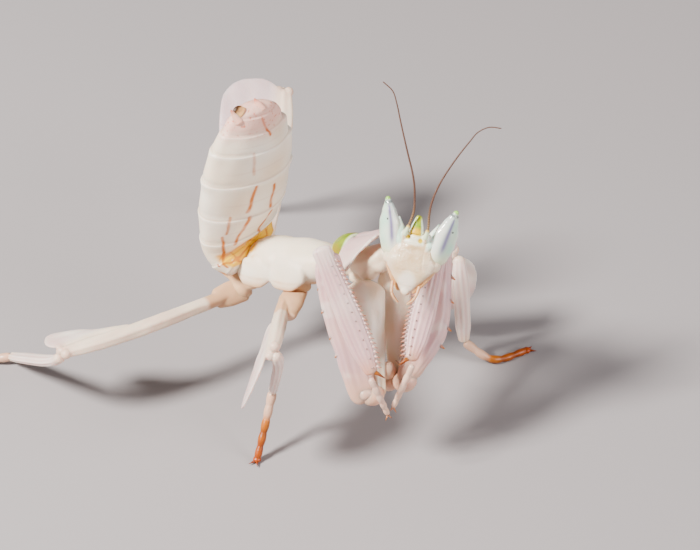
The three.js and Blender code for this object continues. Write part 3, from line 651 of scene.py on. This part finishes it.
def makeHead():
    bm = bmesh.new()
    tube(bm, spline([onHead(0, 0.2, 0), onHead(0, 3, 0), onHead(0, head["faceHeight"], -0.45)], 30),
         [(0, 0.5), (0.13, 1.05), (0.27, 1.62), (0.4, 2.1), (0.5, 2.3), (0.6, 2.05), (0.8, 1.45), (1, 0.95)],
         high=[(0, 0.5), (0.2, 0.8), (0.5, 0.95), (0.8, 0.9), (1, 0.5)],
         low=[(0, 0.4), (0.2, 0.8), (0.5, 1.4), (0.8, 1.2), (1, 0.6)],
         up=faceDir, rings=60, sides=60, ends=(0.3, 0.4), square=0.82)
    headTurn = basis(leftward, crownward, faceDir)
    lump(bm, onHead(0.0, 1.45, 0.42), (0.75, 0.95, 0.4), headTurn)  # clypeus
    lump(bm, onHead(0.0, 0.55, 0.42), (0.48, 0.5, 0.32), headTurn)  # labrum
    lump(bm, onHead(0, 5.4, 0.2), (0.85, 0.6, 0.42), headTurn)
    for side in (-1, 1):
        lump(bm, onHead(side * 0.95, 5.6, 0.3), (0.3, 0.5, 0.4), headTurn)  # antennal socket
        lump(bm, onHead(side * 1.95, 3.1, -0.35), (0.7, 0.75, 0.7), headTurn)  # cheek below the eye
        tube(bm, straight(onHead(side * 1.2, 4.5, 0.1), onHead(side * 1.9, 7.0, -0.35)),  # facet by the eye
             [(0, 0.4), (0.5, 0.52), (1, 0.12)], high=[(0, 0.5), (1, 0.12)],
             up=faceDir - leftward * (side * 0.5), rings=24, sides=24, ends=(0.3, 0.2))
        cheekRim = spline([onHead(side * 2.2, 2.6, -0.1), onHead(side * 1.5, 1.45, 0.2),
                           onHead(side * 0.6, 0.3, 0.3)], 16)
        tube(bm, cheekRim, [(0, 0.17), (1, 0.15)], up=faceDir, rings=20, sides=12, ends=(0.2, 0.2))
    bm = fused(bm, 0.055, 5)

    def carve(co, normal):
        left, up, _ = headPlace(co)
        facing = smooth(0.2, 0.6, normal.dot(faceDir))
        seams = 0.7 * ring(up, 2.5 - 0.12 * abs(left), 0.08) * smooth(1.2, 0.8, abs(left))
        seams += ring(up, 4.85 + 0.12 * math.cos(left * 2), 0.08) * smooth(1.1, 0.9, abs(left))
        upright = ring(abs(left), 1.12 - 0.05 * (up - 3.5), 0.07)
        seams += 0.6 * upright * smooth(2.5, 2.8, up) * smooth(4.8, 4.5, up)
        seams += 0.5 * ring(up, 0.98, 0.07) * smooth(0.7, 0.5, abs(left))
        folds = noise.noise(co * 1.1) + 0.4 * abs(noise.noise(co * 3.4))
        return facing * (-0.05 * seams + 0.09 * folds * smooth(1.8, 2.8, up) * smooth(5.2, 4.6, up))

    def paint(co, normal):
        left, up, front = headPlace(co)
        bulb = smooth(1.2, 0.6, math.hypot(left / 0.85, (up - 1.3) / 1.2)) * smooth(0.1, 0.4, front)
        crackle = abs(noise.noise(co * 1.7))
        shade = ring(up, 4.6, 0.22) * smooth(1.1, 0.6, abs(left))
        shade += 0.5 * ring(abs(left), 0.9, 0.15) * ring(up, 3.6, 0.5)
        top = smooth(4.75, 5.0, up) * smooth(1.0, 0.8, abs(left)) * smooth(0.1, 0.3, front)
        beside = smooth(1.05, 1.25, abs(left)) * smooth(4.3, 4.9, up)
        color = layered(
            (0.66, 0.52, 0.38), ((0.80, 0.69, 0.55), 0.5 + 0.7 * noise.noise(co * 1.0)),
            ((0.84, 0.76, 0.66), 0.6 * smooth(1.1, 1.9, abs(left)) * smooth(4.2, 3.2, up)),
            ((0.90, 0.84, 0.76), 0.85 * bulb),
            ((0.88, 0.80, 0.68), 0.6 * smooth(0.05, 0.0, crackle) * smooth(2.2, 2.8, up)),
            ((0.50, 0.38, 0.25), 0.55 * min(1.0, shade)),
            ((0.93, 0.91, 0.78), top),
            ((0.66, 0.80, 0.70), beside),
            ((0.90, 0.90, 0.86), 0.7 * beside * smooth(0.0, 0.4, noise.noise(co * 1.5))))
        for spotLeft, spotUp in ((-0.62, 5.45), (0.55, 5.3)):
            near = math.hypot(left - spotLeft, up - spotUp)
            color = mixColor(color, (0.72, 0.52, 0.06), 0.8 * smooth(0.3, 0.12, near) * smooth(0, 0.3, front))
        edge = 0.1 + abs(left) * 1.22 - up
        rim = smooth(-0.05, 0.2, edge) * smooth(3.0, 2.3, up)
        return layered(
            color, ((0.74, 0.48, 0.02), 0.9 * ring(up, 5.85, 0.16) * smooth(0.6, 0.4, abs(left))),
            ((0.52, 0.27, 0.14), 0.6 * rim * (1 - 0.8 * bulb)))

    carved(bm, carve)
    colored(bm, paint)
    finished(bm, "headShell", faceShell, ["head"])


makeHead()


def makeEyes():
    for label, side in (("right", -1), ("left", 1)):
        bm = bmesh.new()
        path = spline([onHead(side * left, up, front) for left, up, front in (
            (2.03, 3.0, -0.5), (2.15, 3.8, -0.56), (2.43, 5.2, -0.6), (2.83, 7.1, -0.5),
            (head["eyeTipHalf"], head["eyeTipHeight"], -0.4))])

        def paint(t, turn, co):
            degrees = fromTop(turn)
            outward = side * degrees
            stripe = ring(outward, 15 * side - 30, 14) * smooth(0.12, 0.4, t) * smooth(0.92, 0.84, t)
            pupil = math.hypot((t - 0.66) * 6.4, (outward - 15 * side + 10) * 0.02)
            return layered(
                (0.74, 0.78, 0.68), (mint, 0.5 + 0.6 * noise.noise(co * 0.8)),
                ((0.90, 0.89, 0.84), 0.8 * smooth(15, 60, abs(outward - 5))),
                ((0.80, 0.70, 0.48), 0.5 * smooth(0.35, 0.05, t)),
                ((0.40, 0.46, 0.48), 0.6 * smooth(0.55, 0.9, t) * smooth(10, 60, abs(outward))),
                (violet, 0.9 * stripe),
                ((0.02, 0.01, 0.01), smooth(0.13, 0.08, pupil)),
                ((0.10, 0.12, 0.12), 0.85 * ring(t, 0.915, 0.022)),
                ((0.42, 0.62, 0.28), smooth(0.94, 0.965, t)))

        tube(bm, path, [(0, 0.75), (0.1, 1.0), (0.36, 1.26), (0.58, 1.18), (0.77, 0.76), (0.89, 0.45),
                        (0.94, 0.27), (1, 0.18)],
             high=[(0, 0.5), (0.1, 0.66), (0.36, 0.78), (0.58, 0.72), (0.77, 0.54), (0.89, 0.36),
                   (0.94, 0.25), (1, 0.18)],
             up=faceDir + leftward * (side * 0.85), rings=120, sides=80, ends=(0.9, 0.18), paint=paint)
        finished(bm, f"eye{label.capitalize()}", eyeGlaze, [f"eye_{label}"])


makeEyes()


def makeHorn():
    bm = bmesh.new()

    def paint(t, turn, co):
        flank = abs(math.sin(turn))
        return layered(
            (0.20, 0.36, 0.02), ((0.42, 0.50, 0.03), smooth(0.3, 0.9, t)),
            ((0.78, 0.48, 0.02), smooth(0.5, 0.2, t)),
            ((0.80, 0.88, 0.76), smooth(0.6, 0.8, flank) * smooth(1.0, 0.7, t)))

    tube(bm, straight(onHead(0, 5.75, 0.15), onHead(0, head["hornHeight"] + 0.05, 0)),
         [(0, 0.68), (0.4, 0.54), (0.8, 0.34), (1, 0.2)], high=[(0, 0.5), (0.5, 0.4), (1, 0.16)], up=faceDir,
         rings=30, sides=28, ends=(0.1, 0.1), square=0.9, paint=paint)
    finished(bm, "vertexHorn", hornShell, ["vertex_horn"])


makeHorn()


def makeFeelers():
    # side, length, and the heading in degrees at places along it
    feelers = {"right": (-1, 14.6, [(0, 16), (0.1, 12), (0.2, -6), (0.45, -24), (0.8, -22),
                                    (0.9, -30), (1, -75)]),
               "left": (1, 13.4, [(0, 12), (0.12, -6), (0.2, 0), (0.35, 15), (0.5, 23), (0.8, 30),
                                  (0.9, 60), (1, 98)])}
    steps, beads = 12, 62
    for label, (side, length, bearing) in feelers.items():
        points = [onHead(side * 0.95, 5.55, 0.8)]
        for i in range(1, steps + 1):
            angle = math.radians(keyed(bearing, (i - 0.5) / steps))
            way = leftward * math.sin(angle) + crownward * math.cos(angle)
            points.append(points[-1] + way * (length / steps))
        bm = bmesh.new()

        def paint(t, turn, co):
            if t < 0.07:
                return mixColor((0.66, 0.74, 0.56), (0.70, 0.52, 0.26), smooth(0.05, 0.07, t))
            return layered(
                (0.26, 0.19, 0.12), (umber, smooth(0.08, 0.24, t)),
                ((0.11, 0.07, 0.055), 0.5 + 0.5 * math.cos(t * beads * 2 * math.pi)))

        tube(bm, spline(points, 150), [(0, 0.24), (0.065, 0.16), (0.08, 0.11), (0.5, 0.08), (1, 0.05)],
             up=faceDir, rings=360, sides=10, ends=(0.1, 0.1), paint=paint,
             relief=lambda t, turn, c: 0.018 * math.cos(t * beads * 2 * math.pi) if t > 0.09 else 0.0)
        finished(bm, f"antenna{label.capitalize()}", feelerShell, [f"antenna_{label}"])
        bm = bmesh.new()
        palp = spline([onHead(side * 1.25, 1.3, 0.8), onHead(side * 1.05, 0.2, 1.15),
                       onHead(side * 0.4, -0.6, 0.9)], 30)
        tube(bm, palp, [(0, 0.16), (0.45, 0.14), (0.5, 0.1), (0.55, 0.15), (1, 0.1)], up=faceDir,
             rings=40, sides=12, ends=(0.1, 0.1),
             paint=lambda t, turn, co: mixColor((0.62, 0.45, 0.34), amber,
                                                0.8 * smooth(0.55, 0.95, abs(math.sin(turn)))))
        finished(bm, f"palp{label.capitalize()}", petalShell, [f"palp_{label}"])


makeFeelers()

# Seizing forelegs.

foreLeg = {"coxa": 10.6, "femur": 13.3, "tibia": 11.2, "femurInner": 1.2, "tibiaHalf": 1.15}
# Directions are (heading, rise) in degrees; places are offsets from where the part would end.
seizing = {
    "right": {
        "side": -1, "hip": -1.55, "coxa": (44, -48), "shift": 0.85, "inner": 1,
        "coxaKeys": [(0, 1.2), (0.13, 2.0), (0.45, 1.46), (0.92, 0.65), (1, 0.5)],
        "base": (-1.6, 1.7, 0.83), "femur": (207, 59), "face": (-0.67, -0.5, 0.55),
        "bow": [(-0.07, 0.7), (0, 1.4), (0.3, 1.6), (0.6, 1.7), (0.85, 1.4), (1, 0.8)],
        "spine": 0.3, "comb": 0.16, "teeth": 7,
        "tibia": (20, -52), "above": 1.35, "shin": -0.25, "heel": -0.25, "toe": (-1.15, -1.5, -0.55)},
    "left": {
        "side": 1, "hip": 1.55, "coxa": (-53, -48.5), "shift": 0, "inner": -1,
        "coxaKeys": [(0, 0.9), (0.15, 1.6), (0.5, 1.5), (0.85, 1.15), (1, 0.6)],
        "base": (-1.0, -1.4, 1.4), "femur": (100, 40), "face": (-0.67, -0.42, 0.61),
        "bow": [(-0.03, 0.2), (0.12, 1.11), (0.26, 1.78), (0.37, 2.08), (0.5, 1.96), (0.7, 1.26), (1, 0.2)],
        "spine": 0.6, "comb": 0.42, "teeth": 19,
        "tibia": (-80, -35), "above": 0, "shin": 0.8, "heel": 0.1, "toe": (-2.35, -0.62, -1.1)},
}


def makeForeLeg(label):
    leg = seizing[label]
    side, title = leg["side"], label.capitalize()
    face = Vector(leg["face"]).normalized()
    socket = onNeck(leg["hip"], -1.9, neck["length"] * 0.62)
    coxaDir = aim(side, *leg["coxa"])
    base = socket + coxaDir * foreLeg["coxa"] + Vector(leg["base"])
    socket = socket + coxaDir.cross(face).normalized() * leg["shift"]
    hinge = socket + coxaDir * foreLeg["coxa"]

    def paintCoxa(t, turn, co):
        return layered(
            ivory, (pearlWhite, 0.35 + 0.7 * noise.noise(co * 0.6)),
            ((0.70, 0.55, 0.44), 0.4 * smooth(0.2, 0.0, t) + 0.5 * smooth(0.8, 1.0, t)),
            ((0.88, 0.84, 0.80), 0.4 * ring(math.cos(turn * 3), 1, 0.3)))

    bm = bmesh.new()
    tube(bm, straight(socket - coxaDir * 0.3, hinge), leg["coxaKeys"],
         high=[(0, 0.7), (0.2, 1.1), (0.9, 0.6), (1, 0.45)], up=face, rings=110, sides=60, ends=(0.9, 0.5),
         paint=paintCoxa,
         relief=lambda t, turn, c: 0.06 * math.cos(turn * 6) * smooth(0.1, 0.4, t)
         + 0.06 * ripple(t, turn, 8, 2))
    finished(bm, f"coxaFore{title}", petalShell, [f"coxa_fore_{label}"])

    femurDir = aim(side, *leg["femur"])
    knee = base + femurDir * foreLeg["femur"]
    across = femurDir.cross(face).normalized() * leg["inner"]
    inner, bow = foreLeg["femurInner"], leg["bow"]

    def onFemur(t, aside):
        return base + femurDir * (foreLeg["femur"] * t) + across * aside

    def paintFemur(t, turn, co):
        streak = 0.5 + 0.5 * math.cos(turn * 12 + 2 * noise.noise(co * 0.5))
        return layered(
            lilac, (blush, 0.55 + 0.5 * noise.noise(co * 0.5) + 0.2 * streak),
            (pearlWhite, 0.35 * smooth(0.2, 0.6, noise.noise(co * 0.8))),
            ((0.58, 0.42, 0.34), 0.75 * smooth(0.3, 0.06, t)))

    bm = bmesh.new()
    first, last = bow[0][0], bow[-1][0]
    tube(bm, spline([onFemur(t, (inner - outer) / 2) for t, outer in bow], 60),
         [((t - first) / (last - first), (inner + outer) / 2) for t, outer in bow],
         high=[(0, 0.4), (0.1, 0.62), (0.8, 0.55), (1, 0.45)], up=face, rings=140, sides=84,
         ends=(0.7, 0.5), paint=paintFemur,
         relief=lambda t, turn, c: 0.03 * math.cos(turn * 12) * smooth(0.05, 0.2, t) * smooth(1, 0.9, t)
         + 0.07 * ripple(t, turn, 9, 1.5))
    for t in (0.3, 0.43, 0.62, 0.78):
        root = onFemur(t, 0.15 - keyed(bow, t))
        spine(bm, root, root - across * leg["spine"] - femurDir * 0.2, 0.24, sides=10, color=(blush, amber))
    for i in range(leg["teeth"]):  # the row of small spines that faces the tibia
        t = 0.1 + 0.8 * i / leg["teeth"]
        root = onFemur(t, inner * 0.86) + face * 0.22
        long = leg["comb"] if i % 2 else 1.5 * leg["comb"]
        spine(bm, root, root + across * long + face * 0.12 + femurDir * 0.12, 0.11, sides=8,
              color=((0.66, 0.50, 0.42), (0.08, 0.03, 0.03)))
    elbow = hinge.lerp(base, 0.5)
    lump(bm, elbow, (1.15, 1.1, 0.95), color=(0.66, 0.48, 0.40))
    lump(bm, hinge.lerp(base, 0.92), (0.9, 0.85, 0.7), color=(0.66, 0.48, 0.42))
    if side > 0:  # the swollen trochanter reaches over to the other leg
        lump(bm, hinge + Vector((-0.55, 0.85, 0.25)), (1.1, 0.95, 1.1), color=(0.68, 0.50, 0.42))
        lump(bm, hinge + Vector((-0.75, 0.9, 1.3)), (0.75, 0.7, 1.1), color=(0.72, 0.56, 0.47))
    finished(bm, f"femurFore{title}", petalShell, [f"femur_fore_{label}"])

    tibiaDir = aim(side, *leg["tibia"])
    shinAcross = tibiaDir.cross(face).normalized() * -leg["inner"]
    shinMiddle = knee + face * 1.5 - femurDir * 0.5
    heel = shinMiddle + tibiaDir * foreLeg["tibia"] + shinAcross * leg["heel"]
    shin = shinMiddle - tibiaDir * leg["above"] + shinAcross * leg["shin"]
    half = foreLeg["tibiaHalf"]
    shinWidths = [(0, half * 0.78), (0.15, half * 0.74), (0.35, half * 0.88), (0.6, half),
                  (0.8, half * 0.9), (1, half * 0.5)]

    def paintTibia(t, turn, co):
        streak = 0.5 + 0.5 * math.cos(turn * 14)
        return layered(
            lilac, (blush, 0.45 + 0.35 * streak),
            (pearlWhite, 0.5 * smooth(0.25, 0.0, t) + 0.25 * ring(t, 0.45, 0.1)),
            ((0.34, 0.20, 0.24), 0.35 * ring(math.sin(turn) * leg["inner"], 0.55, 0.1)),
            ((0.60, 0.36, 0.26), 0.6 * smooth(0.82, 1.0, t)))

    bm = bmesh.new()
    tube(bm, straight(shin, heel), shinWidths, high=[(0, 0.5), (0.3, 0.5), (1, 0.35)], up=face,
         rings=120, sides=98, ends=(0.5, 0.4), paint=paintTibia,
         relief=lambda t, turn, c: 0.03 * math.cos(turn * 14) * smooth(0.03, 0.12, t) * smooth(1, 0.85, t))
    for i in range(24):
        t = 0.13 + 0.82 * i / 23
        root = shin.lerp(heel, t) + shinAcross * (keyed(shinWidths, t) * 0.9) + face * 0.1
        spine(bm, root, root + shinAcross * 0.42 + tibiaDir * 0.36, 0.15, sides=8,
              color=(blush, (0.42, 0.20, 0.14)))
        if i % 2:  # dark-tipped tubercles along the keel
            root = shin.lerp(heel, t) + shinAcross * (keyed(shinWidths, t) * 0.35) + face * 0.38
            spine(bm, root, root + face * 0.16 + shinAcross * 0.05, 0.1, sides=8, color=(blush, umber))
    spine(bm, heel - tibiaDir * 0.6, heel + tibiaDir * 0.7 + shinAcross * 0.9, 0.32, sides=12,
          color=(amber, (0.12, 0.04, 0.02)))
    lump(bm, knee + face * 0.8 - femurDir * 0.15, (0.72, 0.72, 0.72), color=(0.70, 0.58, 0.58))
    finished(bm, f"tibiaFore{title}", petalShell, [f"tibia_fore_{label}"])

    foot = heel - shinAcross * 0.3 + tibiaDir * 0.2
    toe = hinge + Vector(leg["toe"])

    def paintToe(t, turn, co):
        return layered(
            (0.64, 0.50, 0.44), ((0.70, 0.54, 0.46), smooth(0.4, 0.9, t)),
            ((0.55, 0.30, 0.20), 0.6 * smooth(0.92, 1.0, t)))

    bm = bmesh.new()
    tube(bm, spline([foot, foot.lerp(toe, 0.5) + face * 0.4, toe], 30),
         [(0, 0.24), (0.4, 0.27), (1, 0.2)], up=face, rings=60, sides=20, ends=(0.25, 0.15), paint=paintToe,
         relief=lambda t, turn, c: 0.06 * abs(math.sin(math.pi * t * 5)))
    for k in (-1, 1):
        spine(bm, toe, toe + coxaDir * 0.45 + shinAcross * (0.3 * k), 0.1,
              color=((0.62, 0.42, 0.34), (0.40, 0.16, 0.08)))
    finished(bm, f"tarsusFore{title}", clawShell, [f"tarsus_fore_{label}"])


makeForeLeg("right")
makeForeLeg("left")

# Walking legs with petals.

midLeg = {"femur": 13.9, "tibia": 9.2, "thick": 0.75}
hindLeg = {"femur": 18.6, "tibia": 12.8, "thick": 0.8}
# A lobe runs between two places on the femur, each (ahead of the hip, out from the shaft).
midLobe = {"from": (5, 1.2), "to": (15.5, 4.05), "round": 2,
           "keys": [(0, 0.5), (0.4, 2.2), (0.75, 3), (1, 2.9)]}
# The middle and the toe of a foot are (heading, reach from the ankle, height above the floor).
# Each leg also gives how far from the hip, in millimetres, its femur carries a painted shadow of the body.
walking = {
    "mid_right": {
        "side": -1, "size": midLeg, "hip": hips["mid"], "sag": 0, "shadedBase": 5.3,
        "plate": ((0.84, -0.65, 0.48), (-4.4, -2.8, 1.4)), "femur": (62, 16.3), "tibia": (228, -59.5),
        "middle": (83, 1.75, 2.9), "toe": (83, 3.5, 0.25), "lobeOut": (-0.41, 0.2, -0.9), "lobe": midLobe},
    "mid_left": {
        "side": 1, "size": midLeg, "hip": hips["mid"], "sag": 0, "shadedBase": 3.3,
        "plate": ((-0.4, 0.1, 0.2), (1.5, -1.9, 0.2)), "femur": (37.6, 3.8), "tibia": (-34, -80),
        "middle": (17, 2.9, 0.5), "toe": (40.6, 6.2, 0.25), "lobeOut": (-0.06, -0.11, -1), "lobe": midLobe},
    "hind_right": {
        "side": -1, "size": hindLeg, "hip": hips["hind"], "sag": -0.7, "shadedBase": 3.3,
        "plate": ((0.9, -0.9, 0.4), (-2.1, 1.1, 0)), "femur": (116.2, 1.3), "tibia": (205.2, -32.4),
        "middle": (148, 3.2, 0.4), "toe": (148, 7.6, 0.25), "lobeOut": (0.6, 0.7, -0.28),
        "lobe": {"from": (11.3, -0.6), "to": (18.9, 2.7), "round": 1.3,
                 "keys": [(0, 0.4), (0.37, 0.6), (0.61, 1.5), (1, 1.9)]}},
    "hind_left": {
        "side": 1, "size": hindLeg, "hip": hips["hind"], "sag": -0.5, "shadedBase": 3.3,
        "plate": ((-0.6, -0.5, 0), (1.9, 0.9, 1.5)), "femur": (113.7, 35.4), "tibia": (185.5, -67.7),
        "middle": (150, 1.8, 2.5), "toe": (150, 4.4, 0.25), "lobeOut": (-0.44, 0.89, 0.06),
        "lobe": {"from": (7, 1.3), "to": (19.2, 3.2), "round": 2.4,
                 "keys": [(0, 0.5), (0.2, 2.2), (0.45, 3.4), (0.6, 3.4), (1, 2.9)]}},
}


def makeWalkingLeg(label):
    leg = walking[label]
    side, size, lobe = leg["side"], leg["size"], leg["lobe"]
    title = "".join(word.capitalize() for word in label.split("_"))
    hip = Vector((leg["hip"].x * side, leg["hip"].y, leg["hip"].z))
    femurDir = aim(side, *leg["femur"])
    knee = hip + femurDir * size["femur"]
    tibiaDir = aim(side, *leg["tibia"])
    lobeFace = femurDir.cross(Vector(leg["lobeOut"])).normalized() * side
    lobeAcross = lobeFace.cross(femurDir) * side
    shin = knee - lobeFace * 0.7
    ankle = shin + tibiaDir * size["tibia"]
    thick = size["thick"]

    def onFloor(heading, reach, height):
        place = ankle + aim(side, heading, 0) * reach
        place.z = height
        return place

    lobeRoot = hip + lobeFace * 0.45
    start = lobeRoot + femurDir * lobe["from"][0] + lobeAcross * lobe["from"][1]
    stop = lobeRoot + femurDir * lobe["to"][0] + lobeAcross * lobe["to"][1]
    bm = bmesh.new()
    belly = hip.lerp(knee, 0.62) + lobeAcross * leg["sag"]
    tube(bm, spline([hip + femurDir * 0.2, belly, knee - femurDir * 0.1], 40),
         scaled([(0, 0.8), (0.2, 1), (0.6, 1.15), (0.85, 1.3), (0.95, 1.1), (1, 0.75)], thick),
         high=scaled([(0, 0.75), (0.5, 0.9), (0.8, 0.85), (1, 0.65)], thick),
         up=lobeFace, rings=80, sides=40, ends=(0.6, 0.5),
         relief=lambda t, turn, c: 0.05 * math.cos(turn * 6) * smooth(0.1, 0.3, t))
    tube(bm, straight(start, stop), lobe["keys"], high=[(0, 0.3), (0.5, 0.26), (1, 0.2)], up=lobeFace,
         rings=80, sides=72, ends=(0.6, lobe["round"]), square=0.9)
    outer = Vector((0.52, 0.32, 0.79)) if label == "mid_right" else Vector((side * 0.67, -0.42, 0.6))
    tube(bm, [hip + Vector(corner) for corner in leg["plate"]], [(0, 1.2), (0.5, 1.2), (1, 0.95)],
         high=[(0, 0.6), (1, 0.5)], up=outer, rings=30, sides=30)  # trochanter
    for k in (-1, 1):  # the two flanges that hold the tibia
        lump(bm, knee - femurDir * 0.35 + lobeFace.cross(femurDir) * (0.5 * k), (0.5, 0.5, 0.5))
    bm = fused(bm, 0.08, 2)

    def place(co):
        away = co - hip
        return away.dot(femurDir), away.dot(lobeAcross)

    def fanned(ahead, out):  # the veins spread from a point behind the lobe's root
        return math.atan2(out, ahead - lobe["from"][0] + 5) * 46

    def veins(co, normal):
        ahead, out = place(co)
        fan = math.cos(fanned(ahead, out) + 0.8 * noise.noise(co * 0.6))
        on = smooth(0.8, 1.4, out) * smooth(0.3, 0.7, abs(normal.dot(lobeFace)))
        return 0.022 * fan * on + 0.03 * noise.noise(co * 1.1)

    def paintFemur(co, normal):
        ahead, out = place(co)
        fan = 0.5 + 0.5 * math.cos(fanned(ahead, out))
        color = layered(
            pearlWhite, (blush, 0.45 + 0.5 * noise.noise(co * 0.35)),
            (lilac, 0.22 * fan + 0.3 * smooth(2.5, 6.0, out)),
            (ivory, 0.6 * smooth(1.0, 0.2, out)))
        if label == "hind_left":
            color = mixColor(color, (0.50, 0.42, 0.44), 0.7 * smooth(0.3, 1.5, out))
        return layered(
            # painted shadow of the body: browner near the hip along the femur's base
            color, ((0.58, 0.41, 0.30), 0.85 * smooth(leg["shadedBase"] + 0.3, leg["shadedBase"] - 0.3, ahead)),
            ((0.60, 0.46, 0.40), 0.5 * smooth(0.93, 1.0, ahead / size["femur"]) * smooth(1.2, 0.5, out)))

    carved(bm, veins)
    colored(bm, paintFemur)
    finished(bm, f"femur{title}", petalShell, [f"femur_{label}"])

    def paintTibia(t, turn, co):
        streak = 0.5 + 0.5 * math.cos(turn * 8)
        return layered(
            blush, (pearlWhite, 0.25 + 0.35 * streak),
            (cream, 0.4 * smooth(0.85, 1.0, t) + 0.3 * smooth(0.1, 0.0, t)))

    bm = bmesh.new()
    tube(bm, spline([knee - lobeFace * 0.3, shin + tibiaDir * 1.5, ankle], 40),
         scaled([(0, 0.7), (0.3, 1.05), (0.8, 0.95), (1, 0.62)], thick),
         high=scaled([(0, 0.62), (0.3, 0.62), (1, 0.5)], thick), up=lobeFace,
         rings=90, sides=56, ends=(0.5, 0.3), paint=paintTibia,
         relief=lambda t, turn, c: 0.04 * math.cos(turn * 8) * smooth(0.05, 0.2, t))
    finished(bm, f"tibia{title}", petalShell, [f"tibia_{label}"])

    def paintTarsus(t, turn, co):
        joint = 0.5 + 0.5 * math.cos(t * 10 * math.pi)
        return layered(
            (0.62, 0.46, 0.38), (amber, smooth(0.3, 0.5, t)),
            (rust, 0.7 * smooth(0.5, 0.9, t)),
            ((0.22, 0.05, 0.02), 0.6 * joint * smooth(0.4, 0.6, t)))

    bm = bmesh.new()
    toe = onFloor(*leg["toe"])
    bend = onFloor(*leg["middle"])
    tube(bm, spline([ankle, bend, toe], 40), [(0, 0.38), (0.5, 0.31), (1, 0.27)], rings=110, sides=22,
         ends=(0.3, 0.2), paint=paintTarsus, relief=lambda t, turn, c: 0.08 * abs(math.sin(math.pi * t * 5)))
    ahead = toe - bend
    ahead.z = 0
    ahead.normalize()
    aside = Vector((-ahead.y, ahead.x, 0))
    lump(bm, Vector((toe.x, toe.y, 0.28)), (0.38, 0.38, 0.3), color=rust)
    for k in (-1, 1):
        root = toe + ahead * 0.1
        end = root + ahead * 0.75 + aside * (0.45 * k)
        end.z = 0.2
        spine(bm, root, end, 0.17, sides=10, color=(rust, (0.10, 0.03, 0.02)))
    finished(bm, f"tarsus{title}", clawShell, [f"tarsus_{label}"], floor=True)


for legLabel in walking:
    makeWalkingLeg(legLabel)

# Floor, light and camera.


def makeStage():
    bm = bmesh.new()
    bmesh.ops.create_grid(bm, x_segments=1, y_segments=1, size=2.0)
    mesh = bpy.data.meshes.new("floor")
    bm.to_mesh(mesh)
    bm.free()
    floor = placed("floor", mesh)
    material = bpy.data.materials.new("paleFloor")
    material.use_nodes = True
    fill(material.node_tree, material.node_tree.nodes["Principled BSDF"],
         {"Base Color": (0.30, 0.28, 0.29, 1), "Roughness": 0.8})
    mesh.materials.append(material)


makeStage()


def softLight(name, place, goal, width, power, color):
    data = bpy.data.lights.new(name, "AREA")
    data.shape = "DISK"
    data.size = width
    data.energy = power
    data.color = color
    lamp = placed(name, data)
    lamp.location = place
    lamp.rotation_euler = (goal - place).to_track_quat("-Z", "Y").to_euler()


view = {"azimuth": -58, "elevation": 37.4, "distance": 0.295, "lens": 157,
        "target": Vector((7.77, -6.79, 6.34))}
target = (view["target"] - middle) * unit
az, el = math.radians(view["azimuth"]), math.radians(view["elevation"])
toCamera = Vector((math.sin(az) * math.cos(el), -math.cos(az) * math.cos(el), math.sin(el)))
rightward = Vector((math.cos(az), math.sin(az), 0))
skyward = toCamera.cross(rightward)

world = bpy.data.worlds.new("softSky")
bpy.context.scene.world = world
world.use_nodes = True
fill(world.node_tree, world.node_tree.nodes["Background"],
     {"Color": (1.0, 0.98, 0.96, 1), "Strength": 0.2})
bodyCenter = Vector((0, 0, 0.014))
softLight("keyLight", bodyCenter + (toCamera * 0.85 - rightward * 0.8 + skyward * 0.45) * 0.3,
          bodyCenter, 0.09, 5.4, (1.0, 0.95, 0.89))
softLight("fillLight", bodyCenter + (toCamera * 0.6 + rightward * 0.8 + skyward * 0.1) * 0.32,
          bodyCenter, 0.16, 1.0, (1.0, 0.93, 0.92))

cameraData = bpy.data.cameras.new("camera")
cameraData.lens = view["lens"]
cameraData.sensor_width = 36
cameraData.clip_start = 0.01
cameraData.clip_end = 10
camera = placed("camera", cameraData)
cameraPlace = Matrix.Translation(target + toCamera * view["distance"])
camera.matrix_world = cameraPlace @ basis(rightward, skyward, toCamera)
bpy.context.scene.camera = camera

bpy.context.view_layer.update()
